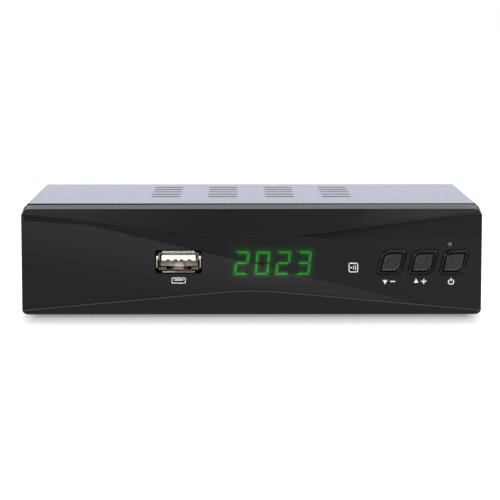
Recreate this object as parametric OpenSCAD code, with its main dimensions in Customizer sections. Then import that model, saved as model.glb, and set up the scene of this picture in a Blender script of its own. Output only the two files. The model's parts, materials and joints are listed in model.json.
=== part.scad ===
// Digital television receiver, a small box that stands on a table.
// A bent steel cover slides over a bent steel chassis. A moulded front panel hooks into
// the chassis and carries a smoked window sheet, three push buttons and the front board.
// X runs to the right as seen from the front, Y to the rear and Z up.
// The origin lies on the table, under the middle of the box with its rear sockets.
// Depths are measured from the panel's face, and place() moves them to the origin.

/* [Case] */
// Width of the front panel
panel_w = 150; // [148:1:180]
// Height of the front panel, from its lower edge to the rear of its top strip
panel_h = 35.85; // [34:0.05:44]
// Depth from the panel's face to the outside of the rear wall
case_d = 76; // [74:1:110]
// Gap between the table and the panel's lower edge
panel_lift = 1; // [0.4:0.1:2]
// How far the panel stands out past the cover on each side
panel_overhang = 1.4; // [1.4:0.1:3]
// How far the cover's top stands above the panel's rear edge
cover_step = 0.15; // [0.1:0.05:1]
// Height of the rubber feet
foot_h = 2.2; // [1.6:0.1:4]
// Diameter of the rubber feet
foot_d = 9; // [6:0.5:12]
// Distance of the feet from the sides of the chassis
foot_inset = 13; // [8:1:30]
// Distance of the front feet from the chassis' front edge
foot_front = 11; // [11:0.5:20]
// Distance of the rear feet from the rear wall
foot_rear = 10; // [6:0.5:20]
// Rounded edge of a foot
foot_edge = 0.5; // [0.2:0.1:0.8]

/* [Sheet metal] */
// Thickness of the cover's sheet
cover_t = 0.6; // [0.5:0.1:1]
// Thickness of the chassis' sheet
chassis_t = 0.8; // [0.6:0.1:1.2]
// Outer radius of the cover's bends
cover_bend_r = 0.8; // [0.7:0.1:2]
// Outer radius of the chassis' bends
bend_r = 1.4; // [1.3:0.1:2.5]
// Height of the chassis' side flanges
flange_h = 13; // [12:0.5:24]
// Gap between parts that slide into each other
slip = 0.15; // [0.05:0.05:0.3]
// Gap between the panel's rear edge and the sheet metal
panel_gap = 0.2; // [0.1:0.05:0.5]
// Difference between a screw's thread and the hole that it cuts into
thread_fit = 0.1; // [0.05:0.05:0.2]
// Diameter of the pan screws' heads
pan_head_d = 5.2; // [4.6:0.1:5.6]
// Height of the pan screws' heads
pan_head_h = 1.4; // [1.3:0.1:1.75]
// Length of the cover's screws
cover_screw_l = 3.4; // [2:0.1:4]
// Height of the cover's screws above the underside of the chassis
cover_screw_rise = 8.2; // [6:0.1:9]
// Distance of the cover's front screws from its front edge
cover_screw_front = 18; // [12:0.5:24]
// Distance of the cover's rear screws from the rear wall
cover_screw_rear = 14; // [8:0.5:20]
// Length of a ventilation slot
vent_l = 10.2; // [4:0.1:14]
// Width of a ventilation slot
vent_w = 2.2; // [1:0.1:4]
// Slots in each group
vent_rows = 5; // [1:1:6]
// Distance between slots of a group
vent_pitch = 8.8; // [5:0.1:9.5]
// Groups of slots
vent_groups = 4; // [1:1:5]
// Distance between groups
group_pitch = 19.2; // [15:0.1:24]
// Depth of the middle slot behind the panel's face
vent_mid = 45.5; // [40:0.5:50]
// Slots in each group under the chassis
low_vent_rows = 3; // [1:1:3]

/* [Front panel] */
// Depth of the sloping strip along the top
panel_d = 4.6; // [3.8:0.1:8]
// Height that the strip loses towards the front
strip_drop = 1.2; // [0.3:0.05:2]
// Radius of the upper corners
top_corner_r = 3; // [1.5:0.1:4]
// Radius of the lower corners
low_corner_r = 2; // [0.5:0.1:3]
// Radius of the upright edges
side_edge_r = 1.2; // [0.5:0.1:2]
// Chamfer along the lower edge
low_chamfer = 0.4; // [0.1:0.1:1]
// Height of the lower lip at its ends
low_lip_end = 1.55; // [1:0.05:3]
// Height of the lower lip where its straight edges would meet
low_lip_mid = 8.4; // [5:0.1:10]
// Radius that joins the lower lip's edges
low_lip_r = 118; // [60:1:200]
// Height of the upper lip at its ends
top_lip_end = 1.5; // [0.6:0.05:3]
// Height of the upper lip where its straight edges would meet
top_lip_mid = 10.8; // [5:0.1:11]
// Radius that joins the upper lip's edges
top_lip_r = 190; // [80:1:240]
// Width of the sloped edge along both lips
lip_bevel = 0.3; // [0.1:0.05:0.5]
// How far the window sheet lies behind the lips
lens_recess = 0.6; // [0.55:0.05:1]
// Thickness of the window sheet
lens_t = 1.5; // [1:0.1:2.5]
// Gap around the window sheet
seam = 0.06; // [0.02:0.01:0.2]
// Wall behind the window sheet
wall_t = 1.4; // [1:0.1:2.5]
// Depth at which the panel's skirt ends inside the case
skirt_d = 13.4; // [12.5:0.1:15]
// Thickness of the skirt
skirt_t = 1.4; // [1:0.1:1.8]
// Width of a hook under the skirt
hook_w = 8; // [4:0.5:12]
// Distance of the hooks from the middle
hook_x = 42; // [30:1:55]
// Height of a hook
hook_h = 0.75; // [0.4:0.05:0.8]
// Length of a hook's ramp
hook_l = 3.2; // [2:0.1:4]
// Flat tip of a hook
hook_tip = 0.6; // [0.3:0.1:1]
// Distance of the hooks from the chassis' front edge
hook_y = 2.7; // [2:0.1:4]
// Radius of small moulded corners
small_r = 0.5; // [0.2:0.05:0.6]

/* [Buttons] */
// Width of a cap along its lower edge
cap_w = 5.65; // [4.5:0.05:6]
// Height of a cap
cap_h = 5.65; // [4.5:0.05:7]
// How far a cap's upper edge is shifted to the right
cap_lean = 1.4; // [0:0.1:1.6]
// Radius of a cap's two round corners
cap_round = 2.2; // [0.5:0.1:2.4]
// Radius of a cap's two pointed corners
cap_tip_r = 0.35; // [0.1:0.05:0.4]
// Distance between caps
cap_pitch = 10.15; // [9.8:0.05:12]
// Distance of the last cap's middle from the panel's right side
cap_edge = 9.1; // [8.6:0.1:14]
// Height of the caps' middle above the panel's lower edge
cap_z = 17.1; // [13:0.1:19]
// Gap between a cap and its rim
cap_gap = 0.35; // [0.15:0.05:0.4]
// Width of the rim round a cap
rim_w = 0.8; // [0.5:0.05:0.95]
// Sloped edge of a rim
rim_bevel = 0.25; // [0.1:0.05:0.3]
// How far a rim stands out of the window sheet
rim_proud = 0.45; // [0.2:0.05:0.55]
// Gap between a rim and the window sheet
rim_fit = 0.2; // [0.05:0.05:0.3]
// How far a cap stands out of the window sheet
cap_proud = 0.6; // [0.5:0.05:1.2]
// Length of the guide behind the panel's wall
guide_l = 1.2; // [0.8:0.1:2]
// Travel of a button
travel = 0.5; // [0.2:0.05:0.6]
// Thickness of a cap's retaining tab
tab_t = 0.8; // [0.5:0.1:1.2]
// How far the tab reaches past the cap above and below
tab_reach = 0.9; // [0.6:0.05:1.2]
// Width of the tab
tab_w = 4; // [3:0.1:4.4]
// Diameter of the pusher between the tab and the switch
pusher_d = 3; // [2:0.1:3.2]

/* [Display] */
// Height of a digit
digit_h = 7.7; // [6:0.1:9]
// Width of a digit
digit_w = 4.4; // [3.5:0.1:5]
// Distance between digits
digit_pitch = 6.75; // [6.2:0.05:7.2]
// Width of a segment
segment_w = 0.66; // [0.5:0.02:1]
// Gap between segments
segment_gap = 0.18; // [0.08:0.02:0.4]
// Lean of the digits in degrees
digit_lean = 5.5; // [0:0.5:10]
// Height of the digits' middle above the panel's lower edge
digits_z = 16.7; // [15:0.1:18]
// Width of the display module
display_w = 36.6; // [34:0.1:37.5]
// Height of the display module
display_h = 13; // [10.5:0.1:14]
// Distance of the first digit's middle from the module's left side
digit_margin = 4.1; // [3.8:0.1:5]
// Depth of the segments in the module's face
segment_d = 0.5; // [0.3:0.1:1]
// Gap round the segments in the face
segment_fit = 0.03; // [0.02:0.01:0.05]
// Gap round the module in the panel's wall
display_fit = 0.3; // [0.2:0.05:0.6]
// Gap between the module and the infrared eye
display_gap = 0.9; // [0.8:0.05:4]
// Distance of a point from its digit
dot_gap = 0.55; // [0.5:0.05:0.7]

/* [Front sockets and lamps] */
// Distance of the serial bus socket's middle from the display module
usb_offset = 16.5; // [12:0.1:20]
// Height of the socket's middle above the panel's lower edge
usb_z = 17.3; // [14:0.1:19]
// Inner width of the socket's shell
usb_w = 12.5; // [12.3:0.05:12.7]
// Inner height of the socket's shell
usb_h = 5.12; // [5:0.02:5.3]
// Thickness of the shell
usb_t = 0.3; // [0.2:0.05:0.4]
// How far the shell's flared lips reach outwards
usb_flare = 0.7; // [0.4:0.05:0.8]
// Gap round the flared lips in the panel
usb_fit = 0.35; // [0.2:0.05:0.6]
// How far the upper and lower lips stop short of the shell's sides
usb_long_inset = 1.3; // [0.8:0.1:2]
// How far the side lips stop short of the shell's top and bottom
usb_short_inset = 0.9; // [0.8:0.1:1.6]
// Length of the springs pressed out of the shell
usb_spring_l = 4.6; // [3:0.1:5]
// Width of those springs
usb_spring_w = 1.9; // [1:0.1:2.4]
// Distance between the springs
usb_spring_pitch = 6; // [5:0.1:7]
// How far the springs bend inwards
usb_spring_in = 0.75; // [0.3:0.05:0.9]
// Width of the tongue
usb_tongue_w = 11.1; // [10.5:0.1:11.4]
// Thickness of the tongue
usb_tongue_t = 1.9; // [1.6:0.05:2]
// Gap over the tongue
usb_tongue_gap = 0.45; // [0.3:0.05:0.6]
// How far the tongue lies behind the window sheet
usb_tongue_set = 1.1; // [0.8:0.1:2]
// Thickness of the block that carries the tongue
usb_block_d = 2.2; // [1.5:0.1:3]
// Distance between the inner contacts
usb_pin_pitch = 2; // [1.9:0.05:2.1]
// Distance between an inner and an outer contact
usb_side_pitch = 2.5; // [2.4:0.05:2.6]
// Width of a contact
usb_pin_w = 1; // [0.8:0.05:1.2]
// Thickness of a contact
usb_pin_t = 0.5; // [0.3:0.05:0.6]
// How far the contacts stop short of the tongue's end
usb_pin_set = 1.6; // [0.4:0.1:2]
// Depth of the grooves that hold the contacts in the tongue
usb_groove = 0.4; // [0.3:0.05:0.6]
// Gap on each side of a contact in its groove
usb_groove_fit = 0.05; // [0.02:0.01:0.1]
// Width of the rib under the tongue
usb_rib_w = 2.8; // [2:0.1:4]
// Height of the rib
usb_rib_h = 1.9; // [1:0.1:2]
// How far the rib stands out of the block
usb_rib_d = 1.2; // [0.5:0.1:2]
// Distance of the lamp from the panel's right side
led_edge = 10.5; // [10:0.1:14]
// Height of the lamp above the caps' middle
led_rise = 5.7; // [5.7:0.1:7]
// Diameter of the lamp's tip
led_tip_d = 2.2; // [1.6:0.05:2.2]
// How far the lamp's tip lies behind the window sheet
led_tip_set = 0.1; // [0.05:0.05:0.3]
// Difference between the radius of the lamp's body and its tip
led_step = 0.45; // [0.3:0.05:0.6]
// Width and height of the lamp's collar
led_collar = 0.35; // [0.2:0.05:0.4]
// Height of the spacer under the lamp
led_spacer_h = 3; // [2:0.1:4]
// Distance of the infrared eye from the first cap's middle
ir_offset = 12.5; // [12.3:0.1:16]
// Height of the infrared eye above the panel's lower edge
ir_z = 15.3; // [13:0.1:17]
// Width of the infrared eye's body
ir_w = 5.9; // [5:0.1:6]
// Height of the infrared eye's body
ir_h = 6.8; // [6:0.1:8]
// Depth of the infrared eye's body
ir_d = 5; // [4:0.1:5.4]
// Radius of the infrared eye's dome
ir_dome_r = 2.1; // [1.6:0.1:2.3]

/* [Boards] */
// Thickness of both boards
board_t = 1.6; // [1:0.1:2]
// Height of the posts that carry the front board
post_h = 7.1; // [6.9:0.1:8]
// Diameter of those posts
post_d = 5; // [4:0.1:5.4]
// Height of the lower posts above the panel's lower edge
post_low = 8; // [7:0.1:9]
// Height of the upper posts above the panel's lower edge
post_high = 26.5; // [25:0.1:27]
// Distance of the left posts from the serial bus socket's middle
post_usb_offset = 12.2; // [11:0.1:14]
// Distance of the right posts from the first cap's middle
post_cap_offset = 7.8; // [7.4:0.1:9]
// How far the front board reaches past the posts
board_margin = 4; // [3:0.1:4.2]
// Height of the main board above the chassis
standoff_h = 5; // [4:0.1:6]
// Diameter of the main board's standoffs
standoff_d = 6; // [5:0.1:7]
// Depth at which the main board starts
main_y = 16.8; // [15.5:0.1:18]
// Gap between the main board and the chassis
main_gap = 3; // [2.5:0.1:4]
// Distance of the main board's front screws from its edges
main_screw_inset = 6.5; // [5:0.1:8]
// Distance of the main board's rear screws from the sockets in front of which they stand
main_screw_gap = 4; // [3.2:0.1:5]
// Thread diameter of the cover's and main board's screws
screw_d = 2.9; // [2.5:0.1:3]
// How far the main board's screws reach into the standoffs
screw_bite = 4; // [3:0.1:5]
// Thread diameter of the front board's screws
small_screw_d = 2.2; // [1.8:0.1:2.5]
// How far the front board's screws reach into the posts
small_screw_bite = 4.4; // [3:0.1:5]
// Height of the front board's screw heads
small_head_h = 1.5; // [1:0.1:2]
// Height of a tactile switch
switch_h = 3.5; // [3:0.1:3.8]
// Side of a tactile switch
switch_w = 6; // [5:0.1:6.2]
// Diameter of a switch's plunger
plunger_d = 3.5; // [3:0.1:4]
// Gap round a plunger
plunger_fit = 0.1; // [0.05:0.01:0.15]
// How far a plunger stands out of its switch
plunger_out = 0.9; // [0.7:0.05:1]
// Width of the ribbon between the boards
ribbon_w = 12.7; // [8:0.1:14]
// Thickness of the ribbon
ribbon_t = 0.9; // [0.5:0.1:1.2]
// Radius of the ribbon's bend
ribbon_r = 2.6; // [2:0.1:3]
// Straight run of the ribbon before its bend
ribbon_run = 1.7; // [1:0.1:3]
// Place of the ribbon, right of the case's middle
ribbon_x = 12; // [0:0.5:20]
// Distance of the ribbon below the upper posts
ribbon_drop = 4.5; // [3:0.1:6]
// Height of the ribbon's headers
header_h = 5.6; // [4:0.1:7]
// Width of the headers
header_w = 5; // [4:0.1:6]
// Wall of a header at each end of the ribbon
header_wall = 1.65; // [1:0.05:2]

/* [Parts on the main board] */
// Distance of the processor's middle from the main board's front edge
chip_offset = 21.2; // [19.5:0.1:24]
// Side of the processor
chip_w = 17; // [12:0.5:20]
// Height of the processor
chip_h = 1.4; // [1:0.1:2]
// Side of the heat sink
sink_w = 22; // [17:0.5:24]
// Thickness of the heat sink's plate
sink_plate = 2; // [1:0.1:3]
// Height of the heat sink
sink_h = 8; // [5:0.5:12]
// Thickness of a fin
fin_t = 1; // [0.6:0.1:1.2]
// Fins of the heat sink
fins = 8; // [4:1:9]
// Gap between parts
part_gap = 4; // [3:0.5:6]
// Width of the memory chip
memory_w = 9; // [8:0.5:11]
// Length of the memory chip
memory_l = 13; // [10:0.5:14]
// Height of the memory chip
memory_h = 1.1; // [0.8:0.1:1.4]
// Side of the flash chip
flash_w = 5.3; // [4:0.1:6]
// Height of the flash chip
flash_h = 1.8; // [1.2:0.1:2]
// Length of the crystal's can
crystal_l = 11; // [8:0.5:12]
// Width of the crystal's can
crystal_w = 4.6; // [3:0.1:5]
// Height of the crystal's can
crystal_h = 3.5; // [2.5:0.1:4]
// Side of a choke
choke_w = 7; // [5:0.5:8]
// Height of a choke
choke_h = 4; // [3:0.5:5]
// Diameter of a capacitor
capacitor_d = 8; // [5:0.1:9]
// Height of a capacitor
capacitor_h = 11.5; // [8:0.5:16]

/* [Rear sockets] */
// How far the aerial sockets reach out of the rear wall
rf_reach = 9.5; // [9:0.1:12]
// Outer diameter of the aerial output, a plug of the coaxial kind
rf_out_d = 9.5; // [9.4:0.01:9.6]
// Wall of the aerial output's barrel
rf_out_t = 0.7; // [0.5:0.05:0.9]
// Inner diameter of the aerial input's barrel
rf_in_d = 9.6; // [9.5:0.05:9.8]
// Wall of the aerial input's barrel
rf_in_t = 0.8; // [0.6:0.05:1]
// Diameter of the aerial output's pin
rf_pin_d = 2.34; // [2.2:0.01:2.4]
// Bore of the aerial input's contact
rf_bore_d = 2.4; // [2.36:0.01:2.5]
// Distance between the aerial sockets
rf_pitch = 16; // [15:0.1:17]
// Height of the aerial sockets above the main board
rf_z = 7.2; // [6.8:0.1:8]
// Distance of the aerial input from the chassis' left wall
rf_edge = 9.6; // [9.4:0.1:11]
// Width of the tuner's can
tuner_w = 31; // [30:0.5:32]
// Depth of the tuner's can
tuner_d = 26; // [18:0.5:30]
// Height of the tuner's can
tuner_h = 14.4; // [14:0.1:18]
// Lap of the tuner's lid over its can
can_lap = 3; // [2:0.1:4]
// Thickness of the tuner's can
can_t = 0.5; // [0.3:0.05:0.6]
// Depth of the insulators in the round sockets
rf_base = 2; // [1:0.1:3]
// Wall of the aerial input's contact
rf_contact_t = 0.6; // [0.4:0.05:0.8]
// How far the aerial sockets' contacts stop short of the barrels
rf_contact_set = 1; // [0.5:0.1:2]
// Inner width of the video socket
hdmi_w = 14; // [13.9:0.05:14.2]
// Inner height of the video socket
hdmi_h = 4.55; // [4.5:0.05:4.8]
// Thickness of the video socket's shell
hdmi_t = 0.4; // [0.3:0.05:0.5]
// Depth of the video socket
hdmi_d = 11.5; // [10:0.1:13]
// How far the video socket reaches out of the rear wall
hdmi_out = 0.6; // [0.2:0.1:1]
// Width of the slanted corners of the video socket
hdmi_cut_w = 1.9; // [1.5:0.1:2.2]
// Height of the slanted corners of the video socket
hdmi_cut_h = 1.7; // [1.4:0.1:2]
// Width of the video socket's tongue
hdmi_tongue_w = 11.2; // [10.8:0.1:11.6]
// Thickness of the video socket's tongue
hdmi_tongue_t = 1; // [0.8:0.05:1.2]
// How far the video socket's tongue lies behind its mouth
hdmi_tongue_set = 1.2; // [0.8:0.1:2]
// Thickness of the block that carries the video socket's tongue
hdmi_block_d = 3; // [2:0.1:4]
// Width of the 21-pole socket's body
scart_w = 46.4; // [46:0.1:47]
// Height of the 21-pole socket's body
scart_h = 15.6; // [15.4:0.1:17]
// Depth of the 21-pole socket's body
scart_d = 18; // [16:0.5:19]
// How far the 21-pole socket reaches out of the rear wall
scart_out = 0.8; // [0.2:0.1:2]
// Width of the island that carries the 21 poles
scart_island_w = 39.6; // [39:0.1:40]
// Height of the island
scart_island_h = 9.4; // [9:0.1:9.8]
// Slanted corner of the island
scart_cut = 3.4; // [2.5:0.1:4]
// Width of the groove round the island
scart_groove = 1.6; // [1.2:0.1:1.8]
// Depth of the groove round the island
scart_groove_d = 11; // [9:0.5:13]
// Distance between poles of a row
scart_pitch = 3.81; // [3.7:0.01:3.9]
// Distance of a row of poles from the socket's middle
scart_rise = 2.1; // [2:0.05:2.4]
// Width of a pole's hole
scart_hole_w = 1.5; // [1.2:0.05:1.6]
// Height of a pole's hole
scart_hole_h = 3.2; // [2.6:0.05:3.4]
// Thickness of a pole's contact
scart_pole_t = 0.5; // [0.3:0.05:0.6]
// Height of a pole's contact
scart_pole_h = 2.4; // [2:0.05:2.6]
// How far a pole's contact lies behind the mouth
scart_pole_set = 1.5; // [1:0.1:3]
// Depth of the poles' holes
scart_hole_d = 12; // [10:0.5:14]
// Distance of the audio socket from the power socket
audio_offset = 14; // [12:0.1:16]
// Width of the audio socket's body
audio_w = 10; // [9:0.1:10.5]
// Depth of the audio socket's body
audio_body_d = 12; // [9:0.5:14]
// Wall of the audio socket's barrel
audio_ring_t = 0.5; // [0.3:0.05:0.6]
// Bore of the audio socket's centre
audio_bore_d = 3.3; // [3.25:0.01:3.4]
// How far the insert lies behind the audio socket's barrel
audio_insert_set = 0.3; // [0.1:0.05:0.6]
// Outer diameter of the audio socket
audio_d = 8.3; // [8.2:0.01:8.4]
// How far the audio socket reaches out of the rear wall
audio_reach = 8.6; // [8:0.1:9]
// Height of the audio socket above the main board
audio_z = 6.6; // [6:0.1:8]
// Distance of the power socket from the chassis' right wall
jack_edge = 8; // [7.8:0.1:10]
// How far the power socket reaches out of the rear wall
jack_out = 0.5; // [0.2:0.1:2]
// Depth of the power socket's bore
jack_bore_l = 10; // [9:0.1:11]
// How far the power socket's pin lies behind its mouth
jack_pin_set = 1; // [0.5:0.1:2]
// Bore of the power socket
jack_bore_d = 6.3; // [6:0.1:6.6]
// Diameter of the power socket's pin
jack_pin_d = 2.1; // [2:0.05:2.2]
// Width of the power socket
jack_w = 9; // [8.6:0.1:9.2]
// Height of the power socket
jack_h = 11; // [10:0.1:12]
// Depth of the power socket
jack_d = 14; // [12:0.1:14.5]
// Gap round the video socket in the rear wall
socket_fit = 0.4; // [0.2:0.05:0.6]
// Gap round the round sockets in the rear wall, which a plug's sleeve needs
plug_room = 1; // [0.9:0.1:1.5]

/* [Hidden] */
$fn = 48;

// Levels above the table
low_z = panel_lift;
top_z = low_z + panel_h;
face_z = top_z - strip_drop;
cover_z = top_z + cover_step;
floor_z = foot_h + chassis_t;
roof_z = cover_z - cover_t;

// Half widths from the cover inwards
cover_x = panel_w / 2 - panel_overhang;
chassis_x = cover_x - cover_t - slip;
inside_x = chassis_x - chassis_t;
skirt_x = inside_x - slip;

// Depths from the panel's face
pocket_y = lens_recess + lens_t;
wall_y = pocket_y + wall_t;
guide_y = wall_y + guide_l;
metal_y = panel_d + panel_gap;
board_y = wall_y + post_h;
rear_y = case_d - chassis_t;
cap_y = lens_recess - cap_proud;
rear_reach = max(rf_reach, audio_reach);
front_y = -(case_d + rear_reach + min(0, cap_y)) / 2;

// Places of the fittings on the front board
first_cap_x = panel_w / 2 - cap_edge - 2 * cap_pitch;
last_cap_x = panel_w / 2 - cap_edge;
caps_z = low_z + cap_z;
led_x = panel_w / 2 - led_edge;
led_z = caps_z + led_rise;
lamp_base_y = board_y - led_spacer_h;
ir_x = first_cap_x - ir_offset;
eye_z = low_z + ir_z;
display_z = low_z + digits_z;
display_x = ir_x - ir_w / 2 - display_gap - display_w;
display_y = pocket_y + slip;
usb_x = display_x - usb_offset;
usb_mid_z = low_z + usb_z;
usb_mouth_y = lens_recess + slip;
usb_block_y = board_y - usb_block_d;
usb_spring_y = usb_mouth_y + usb_flare + usb_t + 2 * slip;
usb_tongue_y = lens_recess + usb_tongue_set;
usb_tongue_z = usb_h / 2 - usb_tongue_gap;

// The front board, its posts and its switches
post_low_z = low_z + post_low;
post_high_z = low_z + post_high;
post_left_x = usb_x - post_usb_offset;
post_right_x = first_cap_x - post_cap_offset;
post_places = [for (x = [post_left_x, post_right_x], z = [post_low_z, post_high_z]) [x, z]];
front_board_x0 = post_left_x - board_margin;
front_board_x1 = skirt_x - skirt_t - slip;
front_board_z0 = post_low_z - board_margin;
front_board_z1 = post_high_z + board_margin;
switch_y = board_y - switch_h;
plunger_y = switch_y - plunger_out;
tab_y = guide_y + slip;

// The main board and the places on it
main_z = floor_z + standoff_h;
deck_z = main_z + board_t;
main_x = inside_x - main_gap;
main_rear_y = rear_y - slip;
rf_in_x = -inside_x + rf_edge;
rf_out_x = rf_in_x + rf_pitch;
rf_mid_z = deck_z + rf_z;
can_y = rear_y - slip;
tuner_x = (rf_in_x + rf_out_x) / 2;
tuner_right_x = tuner_x + tuner_w / 2 + can_t;
jack_x = inside_x - jack_edge;
jack_rear_y = case_d + jack_out;
jack_mid_z = deck_z + jack_h - jack_w / 2;
audio_x = jack_x - audio_offset;
audio_mid_z = deck_z + audio_z;
audio_left_x = audio_x - audio_w / 2;

// The video and the 21-pole socket share the room between the tuner and the audio socket
hdmi_out_w = hdmi_w + 2 * hdmi_t;
socket_gap = (audio_left_x - tuner_right_x - hdmi_out_w - scart_w) / 3;
video_x = tuner_right_x + socket_gap + hdmi_out_w / 2;
hdmi_mid_z = deck_z + hdmi_t + hdmi_h / 2;
hdmi_rear_y = case_d + hdmi_out;
scart_x = audio_left_x - socket_gap - scart_w / 2;
scart_mid_z = deck_z + scart_h / 2;
scart_rear_y = case_d + scart_out;
scart_places = [
    for (row = [-1, 1], i = [0:9])
        [(i - 4.5) * scart_pitch + row * scart_pitch / 4, row * scart_rise]
];

// Screws, feet and the ribbon
front_screw_x = main_x - main_screw_inset;
front_screw_y = main_y + main_screw_inset;
main_screw_places = [
    [-front_screw_x, front_screw_y], [front_screw_x, front_screw_y],
    [video_x, hdmi_rear_y - hdmi_d - main_screw_gap],
    [audio_x, can_y - audio_body_d - main_screw_gap]
];
cover_screw_z = foot_h + cover_screw_rise;
cover_screw_ys = [metal_y + cover_screw_front, case_d - cover_screw_rear];
foot_ys = [metal_y + foot_front, case_d - foot_rear];
header_l = ribbon_w + 2 * header_wall;
ribbon_z = post_high_z - ribbon_drop;
ribbon_y = board_y + board_t + header_h;
drop_y = ribbon_y + ribbon_run + ribbon_r;

// Parts on the main board: the processor in the middle, and the supply's near its socket
chip_y = main_y + chip_offset;
beside_x = sink_w / 2 + part_gap;
choke_xs = [for (i = [0, 1]) jack_x - (choke_w + capacitor_d) / 2 - part_gap - i * (choke_w + part_gap)];
capacitor_y = jack_rear_y - jack_d - (capacitor_d + part_gap) / 2;
capacitor_places = [
    [jack_x, capacitor_y],
    [jack_x, capacitor_y - capacitor_d - part_gap / 2],
    [choke_xs[1], chip_y - (choke_w + capacitor_d + part_gap) / 2]
];

// What each digit shows, as the names of its lit segments, and where segments lie
shown = ["abdeg", "abcdef", "abdeg", "abcdg"];
segment_places = [
    ["a", [0, 1]], ["b", [1, 1]], ["c", [1, -1]], ["d", [0, -1]],
    ["e", [-1, -1]], ["f", [-1, 1]], ["g", [0, 0]]
];

// Outlines

function unit(v) = v / norm(v);

// Points of an arc of radius r that rounds the corner p between a and b
function corner_arc(a, p, b, r, n) =
    let (
        u = unit(a - p),
        v = unit(b - p),
        half = acos(u * v) / 2,
        c = p + unit(u + v) * r / sin(half),
        s = p + u * r / tan(half) - c,
        e = p + v * r / tan(half) - c,
        start = atan2(s.y, s.x),
        sweep = atan2(s.x * e.y - s.y * e.x, s * e)
    )
    [for (i = [0:n]) c + r * [cos(start + sweep * i / n), sin(start + sweep * i / n)]];

function flat(p) = [p.x, p.y];

// Outline through corners [x, y, radius], each rounded by its own radius
function rounded(corners, n = 6) =
    let (m = len(corners))
    [
        for (i = [0:m - 1])
            let (p = corners[i], a = corners[(i + m - 1) % m], b = corners[(i + 1) % m])
            each (p.z > 0 ? corner_arc(flat(a), flat(p), flat(b), p.z, n) : [flat(p)])
    ];

function rounded_box(x0, x1, y0, y1, r, n = 6) =
    rounded([[x0, y0, r], [x1, y0, r], [x1, y1, r], [x0, y1, r]], n);

// Edges of the two lips at a distance x from the panel's middle
function low_lip(x) =
    low_z + low_lip_mid - (low_lip_mid - low_lip_end) * x / (panel_w / 2);
function top_lip(x) =
    face_z - top_lip_mid + (top_lip_mid - top_lip_end) * x / (panel_w / 2);

// The waisted band between the lips, grown or shrunk by an even margin
function band(grow, reach) =
    rounded([
        [-reach, low_lip(reach) - grow, 0],
        [0, low_lip(0) - grow, low_lip_r],
        [reach, low_lip(reach) - grow, 0],
        [reach, top_lip(reach) + grow, 0],
        [0, top_lip(0) + grow, top_lip_r],
        [-reach, top_lip(reach) + grow, 0]
    ], 12);

// One lip, from its edge along the band to past the panel's upper or lower side
function lip(is_top, grow) =
    let (
        reach = panel_w / 2 + 1,
        out = is_top ? top_z + 1 : low_z - 1,
        end = is_top ? top_lip(reach) - grow : low_lip(reach) + grow,
        mid = is_top ? top_lip(0) - grow : low_lip(0) + grow
    )
    rounded([
        [-reach, out, 0], [-reach, end, 0], [0, mid, is_top ? top_lip_r : low_lip_r],
        [reach, end, 0], [reach, out, 0]
    ], 12);

// A button's leaf outline: a leaning box with two round and two pointed corners
function leaf(grow) =
    let (
        h = cap_h / 2 + grow,
        side = grow * norm([cap_lean, cap_h]) / cap_h,
        w = cap_w / 2 + side,
        lean = cap_lean / cap_h * h
    )
    rounded([
        [-w - lean, -h, cap_tip_r + grow / 2],
        [w - lean, -h, cap_round + grow],
        [w + lean, h, cap_tip_r + grow / 2],
        [-w + lean, h, cap_round + grow]
    ]);

// A digit's segments: along its upper side, along its right side above the middle, and across it
function upper_segment(w, h, s, gap) =
    [[gap - w, h], [w - gap, h], [w - s - gap, h - s], [s + gap - w, h - s]];
function side_segment(w, h, s, gap) = [
    [w, h - gap], [w - s, h - s - gap], [w - s, s / 2 + gap], [w - s / 2, gap], [w, s / 2 + gap]
];
function middle_segment(w, s, gap) = [
    [s / 2 + gap - w, 0], [s + gap - w, s / 2], [w - s - gap, s / 2],
    [w - s / 2 - gap, 0], [w - s - gap, -s / 2], [s + gap - w, -s / 2]
];
function leaned(points) = [for (p = points) [p.x + p.y * tan(digit_lean), p.y]];

// A segment at its place in the digit, mirrored from one of the three, and grown for its hole
function segment(place, grow) =
    let (
        w = digit_w / 2 + grow,
        h = digit_h / 2 + grow,
        s = segment_w + 2 * grow,
        gap = segment_gap - grow * sqrt(2),
        shape = place.y == 0 ? middle_segment(w, s, gap)
            : place.x == 0 ? upper_segment(w, h, s, gap)
            : side_segment(w, h, s, gap),
        side = place.x < 0 ? -1 : 1,
        rise = place.y < 0 ? -1 : 1
    )
    leaned([for (p = shape) [side * p.x, rise * p.y]]);
function digit_x(i) = display_x + digit_margin + i * digit_pitch;
function is_lit(i, name) = len(search(name, shown[i])) > 0;

// Shared solids

module place() {
    translate([0, front_y, 0]) children();
}

// An outline seen from the front, from depth y0 to y1
module front_sweep(y0, y1) {
    translate([0, y1, 0]) rotate([90, 0, 0]) linear_extrude(y1 - y0) children();
}

// An outline seen from the right side, from x0 to x1
module side_sweep(x0, x1) {
    translate([x0, 0, 0]) rotate([90, 0, 90]) linear_extrude(x1 - x0) children();
}

module box(x0, x1, y0, y1, z0, z1) {
    translate([x0, y0, z0]) cube([x1 - x0, y1 - y0, z1 - z0]);
}

// A round bar along Y
module bar_y(x, z, d, y0, y1) {
    translate([x, y0, z]) rotate([-90, 0, 0]) cylinder(d = d, h = y1 - y0);
}

// A tube along Y
module tube_y(x, z, d_out, d_in, y0, y1) {
    difference() {
        bar_y(x, z, d_out, y0, y1);
        bar_y(x, z, d_in, y0 - 1, y1 + 1);
    }
}

// A slot with round ends through a sheet that lies flat
module slot(x, y, l, w, z0, z1) {
    straight = (l - w) / 2;
    box(x - straight, x + straight, y - w / 2, y + w / 2, z0, z1);
    for (side = [-1, 1])
        translate([x + side * straight, y, z0]) cylinder(d = w, h = z1 - z0);
}

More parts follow.
